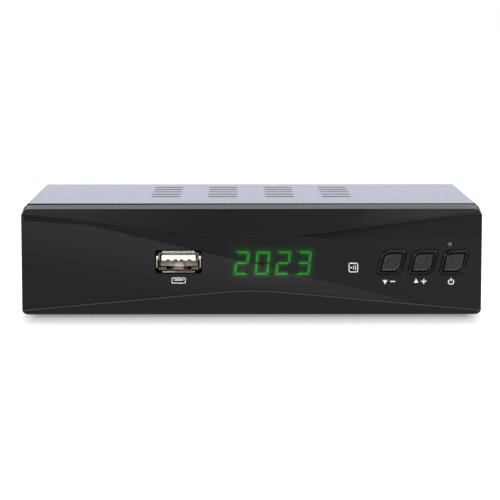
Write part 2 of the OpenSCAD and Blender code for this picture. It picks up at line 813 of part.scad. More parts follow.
module vents(rows, z0, z1) {
    for (g = [0:vent_groups - 1], r = [0:rows - 1])
        slot((g - (vent_groups - 1) / 2) * group_pitch,
            vent_mid + (r - (vent_rows - 1) / 2) * vent_pitch, vent_l, vent_w, z0, z1);
}

// A pan-head screw along Z, with the underside of its head at the origin
module pan_screw(d, l) {
    translate([0, 0, -l]) cylinder(d = d, h = l);
    intersection() {
        cylinder(d = pan_head_d, h = pan_head_h);
        translate([0, 0, -pan_head_h]) sphere(r = 2 * pan_head_h);
    }
}

// Front panel

// A thin slice of the panel at one depth, between two heights
module panel_slice(y, z0, z1) {
    front_sweep(y, y + 0.01)
        polygon(rounded([
            [-panel_w / 2, z0, low_corner_r], [panel_w / 2, z0, low_corner_r],
            [panel_w / 2, z1, top_corner_r], [-panel_w / 2, z1, top_corner_r]
        ], 8));
}

// The panel's outer form: the strip slopes down to the face and runs out round the upper corners,
// the lower edge has a chamfer, and the upright edges are round
module panel_form() {
    intersection() {
        hull() {
            panel_slice(0, low_z + low_chamfer, face_z);
            panel_slice(low_chamfer, low_z, face_z + strip_drop * low_chamfer / panel_d);
            panel_slice(panel_d - 0.01, low_z, top_z);
        }
        linear_extrude(2 * top_z)
            polygon(rounded([
                [-panel_w / 2, 0, side_edge_r], [panel_w / 2, 0, side_edge_r],
                [panel_w / 2, panel_d, 0], [-panel_w / 2, panel_d, 0]
            ], 8));
    }
}

// The two lips in front of the window sheet, each with a sloped edge along the band
module lips() {
    for (is_top = [false, true])
        hull() {
            front_sweep(lip_bevel, pocket_y) polygon(lip(is_top, 0));
            front_sweep(0, 0.01) polygon(lip(is_top, -lip_bevel));
        }
}

module skirt_outline(grow) {
    polygon(rounded_box(-skirt_x - grow, skirt_x + grow,
        floor_z + slip - grow, roof_z - slip + grow, max(0.2, bend_r + grow)));
}

module at_caps() {
    for (i = [0:2]) translate([first_cap_x + i * cap_pitch, 0, caps_z]) children();
}

module usb_window(y0, y1) {
    w = usb_w / 2 + usb_t + usb_flare + usb_fit;
    h = usb_h / 2 + usb_t + usb_flare + usb_fit;
    front_sweep(y0, y1)
        polygon(rounded_box(usb_x - w, usb_x + w, usb_mid_z - h, usb_mid_z + h, usb_fit + small_r));
}

// A hook under the skirt: square towards the front, and a ramp towards the rear
module hook() {
    start = metal_y + hook_y;
    low = floor_z + slip - hook_h;
    side_sweep(-hook_w / 2, hook_w / 2)
        polygon([
            [start, low], [start + hook_tip, low], [start + hook_l, floor_z + slip],
            [start + hook_l, floor_z + slip + skirt_t / 2], [start, floor_z + slip + skirt_t / 2]
        ]);
}

// A rim with a sloped outer edge, and the guide behind it, both still filled
module rim() {
    front = lens_recess - rim_proud;
    hull() {
        front_sweep(front + rim_bevel, guide_y) polygon(leaf(cap_gap + rim_w));
        front_sweep(front, guide_y) polygon(leaf(cap_gap + rim_w - rim_bevel));
    }
}

module front_bezel() {
    color("#1a1a1c") place() difference() {
        union() {
            intersection() {
                panel_form();
                union() {
                    lips();
                    front_sweep(pocket_y, panel_d) difference() {
                        translate([-panel_w, 0]) square([2 * panel_w, 2 * top_z]);
                        skirt_outline(-skirt_t);
                    }
                    box(-panel_w, panel_w, pocket_y, wall_y, 0, 2 * top_z);
                }
            }
            front_sweep(pocket_y, skirt_d) difference() {
                skirt_outline(0);
                skirt_outline(-skirt_t);
            }
            at_caps() rim();
            for (p = post_places) bar_y(p.x, p.y, post_d, pocket_y, board_y);
            for (side = [-1, 1]) translate([side * hook_x, 0, 0]) hook();
        }
        at_caps() front_sweep(-1, guide_y + 1) polygon(leaf(cap_gap));
        usb_window(-1, wall_y + 1);
        front_sweep(pocket_y - 1, wall_y + 1)
            polygon(rounded_box(display_x - display_fit, display_x + display_w + display_fit,
                display_z - display_h / 2 - display_fit,
                display_z + display_h / 2 + display_fit, small_r));
        bar_y(ir_x, eye_z, 2 * ir_dome_r + 2 * display_fit, pocket_y - 1, wall_y + 1);
        bar_y(led_x, led_z, led_tip_d + 2 * slip, pocket_y - 1, wall_y + 1);
        for (p = post_places)
            bar_y(p.x, p.y, small_screw_d + thread_fit, board_y - small_screw_bite - 1, board_y + 1);
    }
}

module front_lens() {
    color("#2a2426") place() difference() {
        intersection() {
            panel_form();
            front_sweep(lens_recess, pocket_y) polygon(band(-seam, panel_w / 2 + 1));
        }
        at_caps() front_sweep(-1, pocket_y + 1) polygon(leaf(cap_gap + rim_w + rim_fit));
        usb_window(-1, pocket_y + 1);
        bar_y(led_x, led_z, led_tip_d + 2 * seam, -1, pocket_y + 1);
    }
}

// Sheet metal

// Bent sheet seen from the front: a roof with two sides that end at z0
module channel(x, z0, z1, t, r) {
    polygon(rounded([
        [-x, z0, 0], [-x, z1, r], [x, z1, r], [x, z0, 0],
        [x - t, z0, 0], [x - t, z1 - t, r - t], [t - x, z1 - t, r - t], [t - x, z0, 0]
    ]));
}

module at_cover_screws() {
    for (side = [0, 1], y = cover_screw_ys)
        mirror([side, 0, 0]) translate([cover_x, y, cover_screw_z]) rotate([0, 90, 0]) children();
}

module top_cover() {
    color("#26272a") place() difference() {
        front_sweep(metal_y, case_d) channel(cover_x, foot_h + slip, cover_z, cover_t, cover_bend_r);
        vents(vent_rows, roof_z - 1, cover_z + 1);
        at_cover_screws() translate([0, 0, -2 * cover_t])
            cylinder(d = screw_d + 2 * slip, h = 4 * cover_t);
    }
}

module rear_cuts() {
    y0 = rear_y - 1;
    y1 = case_d + 1;
    bar_y(rf_in_x, rf_mid_z, rf_in_d + 2 * rf_in_t + 2 * plug_room, y0, y1);
    bar_y(rf_out_x, rf_mid_z, rf_out_d + 2 * plug_room, y0, y1);
    bar_y(audio_x, audio_mid_z, audio_d + 2 * plug_room, y0, y1);
    front_sweep(y0, y1) hdmi_outline(hdmi_t + socket_fit);
    box(scart_x - scart_w / 2 - slip, scart_x + scart_w / 2 + slip, y0, y1,
        deck_z - slip, deck_z + scart_h + slip);
    box(jack_x - jack_w / 2 - slip, jack_x + jack_w / 2 + slip, y0, y1,
        deck_z - slip, deck_z + jack_h + slip);
}

module chassis() {
    color("#2b2c2f") place() difference() {
        union() {
            front_sweep(metal_y, case_d) translate([0, foot_h + flange_h]) mirror([0, 1])
                channel(chassis_x, 0, flange_h, chassis_t, bend_r);
            front_sweep(rear_y, case_d)
                polygon(rounded_box(-chassis_x, chassis_x, foot_h, roof_z - slip, bend_r));
            for (p = main_screw_places)
                translate([p.x, p.y, foot_h]) cylinder(d = standoff_d, h = main_z - foot_h);
        }
        vents(low_vent_rows, foot_h - 1, floor_z + 1);
        rear_cuts();
        for (p = main_screw_places)
            translate([p.x, p.y, foot_h - 1]) cylinder(d = screw_d + thread_fit, h = main_z);
        at_cover_screws() translate([0, 0, -cover_screw_l])
            cylinder(d = screw_d + thread_fit, h = 2 * cover_screw_l);
        for (side = [-1, 1])
            box(side * hook_x - hook_w / 2 - slip, side * hook_x + hook_w / 2 + slip,
                metal_y + hook_y - slip, metal_y + hook_y + hook_l + slip, foot_h - 1, floor_z + 1);
    }
}

module rubber_feet() {
    color("#161616") place()
        for (side = [-1, 1], y = foot_ys)
            translate([side * (chassis_x - foot_inset), y, 0]) rotate_extrude()
                polygon([
                    [0, 0], [foot_d / 2 - 2 * foot_edge, 0], [foot_d / 2 - foot_edge, foot_edge],
                    [foot_d / 2, foot_h], [0, foot_h]
                ]);
}

module cover_screws() {
    color("#8d8f92") place() at_cover_screws() pan_screw(screw_d, cover_screw_l);
}

// Buttons and their switches

module button_cap(i) {
    color("#3c3b3f") place() translate([first_cap_x + i * cap_pitch, 0, caps_z]) {
        front_sweep(cap_y, guide_y - slip) polygon(leaf(0));
        box(-tab_w / 2, tab_w / 2, guide_y - slip, tab_y, -tab_w / 2, tab_w / 2);
        box(-tab_w / 2, tab_w / 2, tab_y, tab_y + tab_t,
            -cap_h / 2 - tab_reach, cap_h / 2 + tab_reach);
        bar_y(0, 0, pusher_d, tab_y + tab_t, plunger_y);
    }
}

module plunger(i) {
    color("#c9c5ba") place()
        bar_y(first_cap_x + i * cap_pitch, caps_z, plunger_d, plunger_y, switch_y + switch_h / 2);
}

module channel_down_button() { button_cap(0); }
module channel_up_button() { button_cap(1); }
module power_button() { button_cap(2); }
module channel_down_plunger() { plunger(0); }
module channel_up_plunger() { plunger(1); }
module power_plunger() { plunger(2); }

module switch_bodies() {
    h = switch_w / 2;
    color("#222224") place() at_caps() difference() {
        front_sweep(switch_y, board_y) polygon(rounded_box(-h, h, -h, h, small_r, 3));
        bar_y(0, 0, plunger_d + 2 * plunger_fit, switch_y - 1,
            switch_y + switch_h / 2 + travel + plunger_fit);
    }
}

// Front board and what it carries

module front_board() {
    color("#2f5d3a") place() difference() {
        box(front_board_x0, front_board_x1, board_y, board_y + board_t,
            front_board_z0, front_board_z1);
        for (p = post_places)
            bar_y(p.x, p.y, small_screw_d + 2 * slip, board_y - 1, board_y + board_t + 1);
    }
}

module front_board_screws() {
    color("#a9abad") place() for (p = post_places) {
        bar_y(p.x, p.y, small_screw_d, board_y - small_screw_bite, board_y + board_t);
        bar_y(p.x, p.y, 2 * small_screw_d, board_y + board_t, board_y + board_t + small_head_h);
    }
}

module display_housing() {
    color("#141214") place() difference() {
        front_sweep(display_y, board_y)
            polygon(rounded_box(display_x, display_x + display_w,
                display_z - display_h / 2, display_z + display_h / 2, small_r, 3));
        segments(true, segment_fit);
        segments(false, segment_fit);
        dots(segment_fit);
    }
}

module segments(lit, grow) {
    front_sweep(display_y - (grow > 0 ? 1 : 0), display_y + segment_d)
        for (i = [0:len(shown) - 1], s = segment_places)
            if (is_lit(i, s[0]) == lit)
                translate([digit_x(i), display_z]) polygon(segment(s[1], grow));
}

module dots(grow) {
    for (i = [0:len(shown) - 1])
        bar_y(digit_x(i) + digit_w / 2 + dot_gap, display_z - (digit_h - segment_w) / 2,
            segment_w + 2 * grow, display_y - (grow > 0 ? 1 : 0), display_y + segment_d);
}

module lit_segments() {
    color("#3fd24a") place() segments(true, 0);
}

module unlit_segments() {
    color("#3a3836") place() {
        segments(false, 0);
        dots(0);
    }
}

module infrared_eye() {
    color("#1d1618") place() translate([ir_x, 0, eye_z]) {
        front_sweep(board_y - ir_d, board_y)
            polygon(rounded_box(-ir_w / 2, ir_w / 2, -ir_h / 2, ir_h / 2, small_r, 3));
        translate([0, board_y - ir_d, 0]) intersection() {
            sphere(r = ir_dome_r);
            box(-ir_w, ir_w, -ir_w, small_r, -ir_w, ir_w);
        }
    }
}

// The lamp's tip runs through the panel and ends in a dome level with the window sheet
module standby_lamp() {
    tip_r = led_tip_d / 2;
    body_r = tip_r + led_step;
    tip_y = lens_recess + led_tip_set;
    dome_y = tip_y + tip_r / 2;
    color("#7a4a35") place() translate([led_x, 0, led_z]) rotate([-90, 0, 0]) {
        translate([0, 0, dome_y]) cylinder(r = tip_r, h = lamp_base_y - dome_y);
        translate([0, 0, wall_y + slip]) cylinder(r = body_r, h = lamp_base_y - wall_y - slip);
        translate([0, 0, lamp_base_y - 2 * led_collar])
            cylinder(r = body_r + led_collar, h = 2 * led_collar);
        translate([0, 0, dome_y]) intersection() {
            translate([0, 0, tip_r * 0.75]) sphere(r = tip_r * 1.25);
            translate([0, 0, -tip_r]) cylinder(r = tip_r, h = 1.3 * tip_r);
        }
    }
}

module lamp_spacer() {
    color("#dcdad2") place() bar_y(led_x, led_z, led_tip_d + 4 * led_step, lamp_base_y, board_y);
}

// Serial bus socket, with its mouth in the panel and its rear end on the front board

// The lip along one side of the mouth: a thin strip that leans outwards
module usb_lip(half, reach) {
    root = usb_mouth_y + usb_flare + usb_t;
    side_sweep(-half, half)
        polygon([
            [root, reach - usb_t], [root, reach], [usb_mouth_y, reach + usb_flare],
            [usb_mouth_y, reach + usb_flare - usb_t], [root - usb_t / 2, reach - usb_t]
        ]);
}

module usb_shell() {
    w = usb_w / 2 + usb_t;
    h = usb_h / 2 + usb_t;
    root = usb_mouth_y + usb_flare + usb_t / 2;
    color("#c3c5c8") place() translate([usb_x, 0, usb_mid_z]) {
        difference() {
            front_sweep(root, board_y) polygon(rounded_box(-w, w, -h, h, small_r));
            box(-usb_w / 2, usb_w / 2, root - 1, board_y + 1, -usb_h / 2, usb_h / 2);
            for (side = [-1, 1])
                box(side * usb_spring_pitch / 2 - usb_spring_w / 2 - slip,
                    side * usb_spring_pitch / 2 + usb_spring_w / 2 + slip,
                    usb_spring_y, usb_spring_y + usb_spring_l, -h - 1, 0);
        }
        for (a = [0, 180]) rotate([0, a, 0]) usb_lip(w - usb_long_inset, h);
        for (a = [90, 270]) rotate([0, a, 0]) usb_lip(h - usb_short_inset, w);
        for (side = [-1, 1]) translate([side * usb_spring_pitch / 2, 0, -h]) usb_spring();
    }
}

// A spring in the shell's lower side, bent inwards and joined at its rear end
module usb_spring() {
    rear = usb_spring_y + usb_spring_l + usb_t / 2;
    crest = usb_spring_y + usb_spring_l / 3;
    side_sweep(-usb_spring_w / 2, usb_spring_w / 2)
        polygon([
            [rear, 0], [crest, usb_spring_in], [usb_spring_y + slip, 0],
            [usb_spring_y + slip, usb_t], [crest, usb_spring_in + usb_t], [rear, usb_t]
        ]);
}

// Contacts lie in grooves under the tongue, from a depth behind its end
module at_usb_contacts() {
    for (side = [-1, 1], step = [0, usb_side_pitch])
        translate([usb_x + side * (usb_pin_pitch / 2 + step), 0, usb_mid_z + usb_tongue_z - usb_tongue_t])
            children();
}

module usb_tongue() {
    groove_w = usb_pin_w / 2 + usb_groove_fit;
    color("#efeee9") place() difference() {
        translate([usb_x, 0, usb_mid_z]) {
            box(-usb_w / 2 + slip, usb_w / 2 - slip, usb_block_y, board_y,
                -usb_h / 2 + slip, usb_h / 2 - slip);
            front_sweep(usb_tongue_y, usb_block_y)
                polygon(rounded_box(-usb_tongue_w / 2, usb_tongue_w / 2,
                    usb_tongue_z - usb_tongue_t, usb_tongue_z, small_r / 2, 3));
            box(-usb_rib_w / 2, usb_rib_w / 2, usb_block_y - usb_rib_d, usb_block_y,
                -usb_h / 2 + slip, -usb_h / 2 + slip + usb_rib_h);
        }
        at_usb_contacts() box(-groove_w, groove_w, usb_tongue_y - 1, usb_block_y, -1, usb_groove);
    }
}

module usb_contacts() {
    color("#c8a24a") place() at_usb_contacts()
        box(-usb_pin_w / 2, usb_pin_w / 2, usb_tongue_y + usb_pin_set, usb_block_y,
            usb_groove - usb_pin_t, usb_groove);
}

// Ribbon between the boards

module front_header() {
    color("#e8e4d6") place()
        box(ribbon_x - header_l / 2, ribbon_x + header_l / 2, board_y + board_t, ribbon_y,
            ribbon_z - header_w / 2, ribbon_z + header_w / 2);
}

module main_header() {
    color("#e8e4d6") place()
        box(ribbon_x - header_l / 2, ribbon_x + header_l / 2,
            drop_y - header_w / 2, drop_y + header_w / 2, deck_z, deck_z + header_h);
}

module ribbon_cable() {
    t = ribbon_t / 2;
    end_z = deck_z + header_h;
    color("#9a9ca0") place() side_sweep(ribbon_x - ribbon_w / 2, ribbon_x + ribbon_w / 2)
        polygon(rounded([
            [ribbon_y, ribbon_z + t, 0], [drop_y + t, ribbon_z + t, ribbon_r + t],
            [drop_y + t, end_z, 0], [drop_y - t, end_z, 0],
            [drop_y - t, ribbon_z - t, ribbon_r - t], [ribbon_y, ribbon_z - t, 0]
        ], 8));
}

// Main board

module main_board() {
    color("#2f5d3a") place() difference() {
        box(-main_x, main_x, main_y, main_rear_y, main_z, deck_z);
        for (p = main_screw_places)
            translate([p.x, p.y, main_z - 1]) cylinder(d = screw_d + 2 * slip, h = board_t + 2);
    }
}

module main_board_screws() {
    color("#a9abad") place()
        for (p = main_screw_places) translate([p.x, p.y, deck_z]) pan_screw(screw_d, board_t + screw_bite);
}

module on_deck(x, y, w, d, h, base = 0) {
    box(x - w / 2, x + w / 2, y - d / 2, y + d / 2, deck_z + base, deck_z + base + h);
}

module processor_chip() {
    color("#1c1c1e") place() on_deck(0, chip_y, chip_w, chip_w, chip_h);
}

module memory_chip() {
    color("#1c1c1e") place()
        on_deck(-beside_x - memory_w / 2, chip_y, memory_w, memory_l, memory_h);
}

module flash_chip() {
    color("#1c1c1e") place()
        on_deck(beside_x + flash_w / 2, chip_y - flash_w, flash_w, flash_w, flash_h);
}

module crystal_can() {
    color("#b9bbbd") place() translate([0, 0, deck_z]) linear_extrude(crystal_h)
        polygon(rounded_box(beside_x, beside_x + crystal_l, chip_y + crystal_w,
            chip_y + 2 * crystal_w, 0.48 * crystal_w));
}

module heat_sink() {
    color("#b4b6b8") place() {
        on_deck(0, chip_y, sink_w, sink_w, sink_plate, chip_h);
        for (i = [0:fins - 1])
            on_deck((i / (fins - 1) - 0.5) * (sink_w - fin_t), chip_y, fin_t, sink_w, sink_h, chip_h);
    }
}

module power_chokes() {
    color("#3a3a3c") place() for (x = choke_xs) on_deck(x, chip_y, choke_w, choke_w, choke_h);
}

module capacitors() {
    color("#27304a") place() for (p = capacitor_places)
        translate([p.x, p.y, deck_z]) cylinder(d = capacitor_d, h = capacitor_h);
}

// Aerial sockets on the tuner's can

// A tinned sheet box, open towards the board, with a lid pressed over its upper edge
module tuner_can() {
    color("#bfc1c3") place() difference() {
        union() {
            box(tuner_x - tuner_w / 2, tuner_x + tuner_w / 2, can_y - tuner_d, can_y,
                deck_z, deck_z + tuner_h - can_t);
            box(tuner_x - tuner_w / 2 - can_t, tuner_x + tuner_w / 2 + can_t,
                can_y - tuner_d - can_t, can_y, deck_z + tuner_h - can_lap, deck_z + tuner_h);
        }
        box(tuner_x - tuner_w / 2 + can_t, tuner_x + tuner_w / 2 - can_t,
            can_y - tuner_d + can_t, can_y - can_t, deck_z - 1, deck_z + tuner_h - can_t);
    }
}

module rf_in_barrel() {
    color("#c9cacc") place()
        tube_y(rf_in_x, rf_mid_z, rf_in_d + 2 * rf_in_t, rf_in_d, can_y, case_d + rf_reach);
}

module rf_in_insulator() {
    color("#ecebe6") place()
        tube_y(rf_in_x, rf_mid_z, rf_in_d, rf_bore_d + 2 * rf_contact_t, can_y, can_y + rf_base);
}

module rf_in_contact() {
    color("#c8a24a") place() difference() {
        bar_y(rf_in_x, rf_mid_z, rf_bore_d + 2 * rf_contact_t, can_y, case_d + rf_reach - rf_contact_set);
        bar_y(rf_in_x, rf_mid_z, rf_bore_d, can_y + rf_base, case_d + rf_reach);
    }
}

module rf_out_barrel() {
    color("#c9cacc") place()
        tube_y(rf_out_x, rf_mid_z, rf_out_d, rf_out_d - 2 * rf_out_t, can_y, case_d + rf_reach);
}

module rf_out_insulator() {
    color("#ecebe6") place()
        tube_y(rf_out_x, rf_mid_z, rf_out_d - 2 * rf_out_t, rf_pin_d, can_y, can_y + rf_base);
}

module rf_out_pin() {
    color("#c8a24a") place()
        bar_y(rf_out_x, rf_mid_z, rf_pin_d, can_y, case_d + rf_reach - rf_contact_set);
}

// Video socket

// The mouth is narrower along its lower side
module hdmi_outline(grow) {
    w = hdmi_w / 2 + grow;
    h = hdmi_h / 2 + grow;
    translate([video_x, hdmi_mid_z])
        polygon(rounded([
            [-w + hdmi_cut_w, -h, hdmi_t], [w - hdmi_cut_w, -h, hdmi_t], [w, -h + hdmi_cut_h, hdmi_t],
            [w, h, hdmi_t], [-w, h, hdmi_t], [-w, -h + hdmi_cut_h, hdmi_t]
        ], 3));
}

module hdmi_shell() {
    color("#c3c5c8") place() front_sweep(hdmi_rear_y - hdmi_d, hdmi_rear_y) difference() {
        hdmi_outline(hdmi_t);
        hdmi_outline(0);
    }
}

module hdmi_tongue() {
    color("#1a1a1c") place() {
        front_sweep(hdmi_rear_y - hdmi_d, hdmi_rear_y - hdmi_d + hdmi_block_d) hdmi_outline(-slip);
        translate([video_x, 0, hdmi_mid_z])
            box(-hdmi_tongue_w / 2, hdmi_tongue_w / 2, hdmi_rear_y - hdmi_d,
                hdmi_rear_y - hdmi_tongue_set, 0, hdmi_tongue_t);
    }
}

// 21-pole socket

// The island has one slanted corner, and the groove round it takes the plug's shield
module scart_island(grow) {
    w = scart_island_w / 2 + grow;
    h = scart_island_h / 2 + grow;
    polygon(rounded([
        [-w, -h, small_r], [w - scart_cut, -h, small_r], [w, scart_cut - h, small_r],
        [w, h, small_r], [-w, h, small_r]
    ], 3));
}

module scart_body() {
    color("#19191b") place() translate([scart_x, 0, scart_mid_z]) difference() {
        front_sweep(scart_rear_y - scart_d, scart_rear_y)
            polygon(rounded_box(-scart_w / 2, scart_w / 2, -scart_h / 2, scart_h / 2, small_r));
        front_sweep(scart_rear_y - scart_groove_d, scart_rear_y + 1) difference() {
            scart_island(scart_groove);
            scart_island(0);
        }
        for (p = scart_places)
            box(p.x - scart_hole_w / 2, p.x + scart_hole_w / 2, scart_rear_y - scart_hole_d,
                scart_rear_y + 1, p.y - scart_hole_h / 2, p.y + scart_hole_h / 2);
    }
}

module scart_contacts() {
    color("#b9bbbd") place() translate([scart_x, 0, scart_mid_z])
        for (p = scart_places)
            box(p.x + scart_hole_w / 2 - scart_pole_t, p.x + scart_hole_w / 2,
                scart_rear_y - scart_hole_d, scart_rear_y - scart_pole_set,
                p.y - scart_pole_h / 2, p.y + scart_pole_h / 2);
}

// Audio socket

module audio_jack_body() {
    half = audio_w / 2;
    color("#1f1f21") place()
        front_sweep(can_y - audio_body_d, can_y)
            polygon(rounded_box(audio_x - half, audio_x + half, deck_z,
                audio_mid_z + half, small_r));
}

module audio_jack_barrel() {
    color("#cfb46a") place()
        tube_y(audio_x, audio_mid_z, audio_d, audio_d - 2 * audio_ring_t, can_y,
            case_d + audio_reach);
}

module audio_jack_insert() {
    color("#d9702a") place() difference() {
        bar_y(audio_x, audio_mid_z, audio_d - 2 * audio_ring_t, can_y,
            case_d + audio_reach - audio_insert_set);
        bar_y(audio_x, audio_mid_z, audio_bore_d, can_y + rf_base, case_d + audio_reach + 1);
    }
}

// Power socket

module power_jack_body() {
    color("#17171a") place() difference() {
        front_sweep(jack_rear_y - jack_d, jack_rear_y)
            polygon(rounded_box(jack_x - jack_w / 2, jack_x + jack_w / 2, deck_z,
                deck_z + jack_h, small_r));
        bar_y(jack_x, jack_mid_z, jack_bore_d, jack_rear_y - jack_bore_l, jack_rear_y + 1);
    }
}

module power_jack_pin() {
    color("#c9cacc") place()
        bar_y(jack_x, jack_mid_z, jack_pin_d, jack_rear_y - jack_bore_l, jack_rear_y - jack_pin_set);
}

front_bezel();
front_lens();
top_cover();
chassis();
rubber_feet();
cover_screws();
channel_down_button();
channel_up_button();
power_button();
channel_down_plunger();
channel_up_plunger();
power_plunger();
switch_bodies();
front_board();
front_board_screws();
display_housing();
lit_segments();
unlit_segments();
infrared_eye();
standby_lamp();
lamp_spacer();
usb_shell();
usb_tongue();
usb_contacts();
front_header();
main_header();
ribbon_cable();
main_board();
main_board_screws();
tuner_can();
rf_in_barrel();
rf_in_insulator();
rf_in_contact();
rf_out_barrel();
rf_out_insulator();
rf_out_pin();
hdmi_shell();
hdmi_tongue();
scart_body();
scart_contacts();
audio_jack_body();
audio_jack_barrel();
audio_jack_insert();
power_jack_body();
power_jack_pin();
processor_chip();
heat_sink();
memory_chip();
flash_chip();
crystal_can();
power_chokes();
capacitors();
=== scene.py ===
# %% [markdown]
# # Dressing a television receiver
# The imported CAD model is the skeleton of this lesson: every piece has its place and size, in metres.
# What is left is what makes it look real: light, finishes, soft edges, the fine check on the buttons,
# the glow of the clock and the printed signs. Each step first says what the real thing is like.

# %% Load the frame
import json
from math import cos, exp, pi, radians, sin

import bmesh
import bpy
from mathutils import Matrix, Vector
from mathutils.bvhtree import BVHTree


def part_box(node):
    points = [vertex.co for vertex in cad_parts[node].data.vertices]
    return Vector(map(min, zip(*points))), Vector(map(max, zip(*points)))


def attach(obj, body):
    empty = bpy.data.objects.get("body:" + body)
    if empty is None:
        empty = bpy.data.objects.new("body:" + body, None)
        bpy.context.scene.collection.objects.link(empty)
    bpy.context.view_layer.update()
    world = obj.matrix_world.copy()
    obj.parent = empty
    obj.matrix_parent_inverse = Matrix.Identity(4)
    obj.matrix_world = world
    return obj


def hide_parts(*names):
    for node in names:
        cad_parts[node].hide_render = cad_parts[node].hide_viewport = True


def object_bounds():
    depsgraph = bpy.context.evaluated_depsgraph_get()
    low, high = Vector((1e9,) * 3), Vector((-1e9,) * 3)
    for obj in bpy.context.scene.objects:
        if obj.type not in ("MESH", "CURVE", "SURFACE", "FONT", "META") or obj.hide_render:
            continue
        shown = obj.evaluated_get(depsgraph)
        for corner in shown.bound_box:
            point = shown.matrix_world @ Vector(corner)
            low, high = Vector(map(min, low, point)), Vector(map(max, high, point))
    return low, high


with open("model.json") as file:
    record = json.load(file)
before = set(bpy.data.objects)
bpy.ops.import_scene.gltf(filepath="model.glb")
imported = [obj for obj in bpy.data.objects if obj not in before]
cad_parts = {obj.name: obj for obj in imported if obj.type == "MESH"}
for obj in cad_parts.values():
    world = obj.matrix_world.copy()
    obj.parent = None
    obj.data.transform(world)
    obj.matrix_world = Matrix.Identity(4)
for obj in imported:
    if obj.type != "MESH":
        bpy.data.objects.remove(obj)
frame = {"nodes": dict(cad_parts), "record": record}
cad_low, cad_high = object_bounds()
nodes = frame["nodes"]
record = frame["record"]
slot_of = {part["node"]: part["material_slot"] for part in record["subparts"]}
body_of = {n: body for body, members in record["behaviour"]["bodies"].items() for n in members}
MM = 0.001
scene = bpy.context.scene
scene.view_settings.view_transform = "Standard"
print("CAD box in mm:", [round(v / MM, 2) for v in (*cad_low, *cad_high)], "nodes:", len(nodes))

# %% [markdown]
# ## The camera
# The photograph was taken from a little above, with a long lens, nearly straight on. A camera can be
# placed by eye, but here the straight edges of the panel and the cover gave its place and focal length,
# so that the pieces fall where the photograph has them.

# %% Place the camera
IMAGE_PIXELS = 500
FOCAL_PIXELS = 2066.4
SENSOR_MM = 36
CAMERA_MM = Vector((-5.296, -709.58, 102.92))
LOOK_DOWN = 0.12042
LOOK_RIGHT = 0.00706
NEAR_CLIP = 50 * MM
FAR_CLIP = 50

camera_data = bpy.data.cameras.new("camera")
camera_data.sensor_width = SENSOR_MM
camera_data.lens = FOCAL_PIXELS * SENSOR_MM / IMAGE_PIXELS
camera_data.clip_start = NEAR_CLIP
camera_data.clip_end = FAR_CLIP
camera = bpy.data.objects.new("camera", camera_data)
camera.location = CAMERA_MM * MM
camera.rotation_euler = (pi / 2 - LOOK_DOWN, 0, -LOOK_RIGHT)
scene.collection.objects.link(camera)
scene.camera = camera
print("lens in mm:", round(camera_data.lens, 2))

# %% [markdown]
# ## Shader nodes in few words
# Finishes are built from nodes. Three small helpers keep that readable: one adds a node and sets or links
# its inputs, one gives noise on Object coordinates with blotches of a chosen size, and one spreads that
# noise between two values. Object coordinates are metres here, because no piece is moved or scaled.

# %% Helpers for nodes
NOISE_DETAIL = 2.0
NOISE_MIDDLE = (0.3, 0.7)


def add(tree, kind, inputs=(), **settings):
    """Adds a node, with each input set to a value or linked to another node's output."""
    made = tree.nodes.new(kind)
    for key, value in settings.items():
        setattr(made, key, value)
    for key, value in dict(inputs).items():
        if isinstance(value, bpy.types.NodeSocket):
            tree.links.new(value, made.inputs[key])
        else:
            made.inputs[key].default_value = value
    return made


def speckle(tree, size, stretch=(1, 1, 1)):
    """Noise with blotches of about the given size in metres, drawn out along an axis if wanted."""
    place = add(tree, "ShaderNodeTexCoord").outputs["Object"]
    spread = add(tree, "ShaderNodeMapping", {"Vector": place, "Scale": stretch})
    noise = {"Vector": spread.outputs["Vector"], "Scale": 1 / size, "Detail": NOISE_DETAIL}
    return add(tree, "ShaderNodeTexNoise", noise).outputs["Fac"]


def between(tree, value, low, high):
    """Spreads the middle of a noise's range from low to high."""
    start, end = NOISE_MIDDLE
    limits = {"Value": value, "From Min": start, "From Max": end, "To Min": low, "To Max": high}
    return add(tree, "ShaderNodeMapRange", limits).outputs["Result"]


# %% [markdown]
# ## Floor and light
# The studio is a white tent. The floor and the sky show as white to the camera and in reflections, and
# give a softer light to matt surfaces. Near the box the floor glows less, so it keeps a short soft shadow.
# That shade is measured from an outline a little narrower than the box, so that its corners are round and
# nothing shows beside the box. It fades faster to the sides than to the front.

# %% Build the studio
SKY_LIGHT = 0.5
SKY_IN_GLOSS = (0.965, 1.005, 1.15, 1)
FLOOR_TONE = 0.37
FLOOR_GLOW = 0.31
FLOOR_ROUGHNESS = 0.9
SHADE_REACH = 40 * MM
SHADE_SHAPE = (4.5, 1, 0)
SHADE_INSET = Vector((5 * MM, 0, 0))
FLOOR_SIZE = 12


def seen_directly(tree):
    """One for rays from the camera, from gloss and through clear pieces, and nothing for the rest."""
    path = add(tree, "ShaderNodeLightPath").outputs
    direct = {0: path["Is Camera Ray"], 1: path["Is Glossy Ray"]}
    glossy = add(tree, "ShaderNodeMath", direct, use_clamp=True).outputs[0]
    clear = {0: glossy, 1: path["Is Transmission Ray"]}
    return add(tree, "ShaderNodeMath", clear, use_clamp=True).outputs[0]


def build_sky():
    world = bpy.data.worlds.new("white_tent")
    world.use_nodes = True
    tree = world.node_tree
    limits = {"Value": seen_directly(tree), "To Min": SKY_LIGHT, "To Max": 1.0}
    strength = add(tree, "ShaderNodeMapRange", limits).outputs["Result"]
    mirrored = add(tree, "ShaderNodeLightPath").outputs["Is Glossy Ray"]
    colour = add(tree, "ShaderNodeMix", {0: mirrored, 6: (1, 1, 1, 1), 7: SKY_IN_GLOSS}, data_type="RGBA")
    tree.links.new(colour.outputs[2], tree.nodes["Background"].inputs["Color"])
    tree.links.new(strength, tree.nodes["Background"].inputs["Strength"])
    scene.world = world


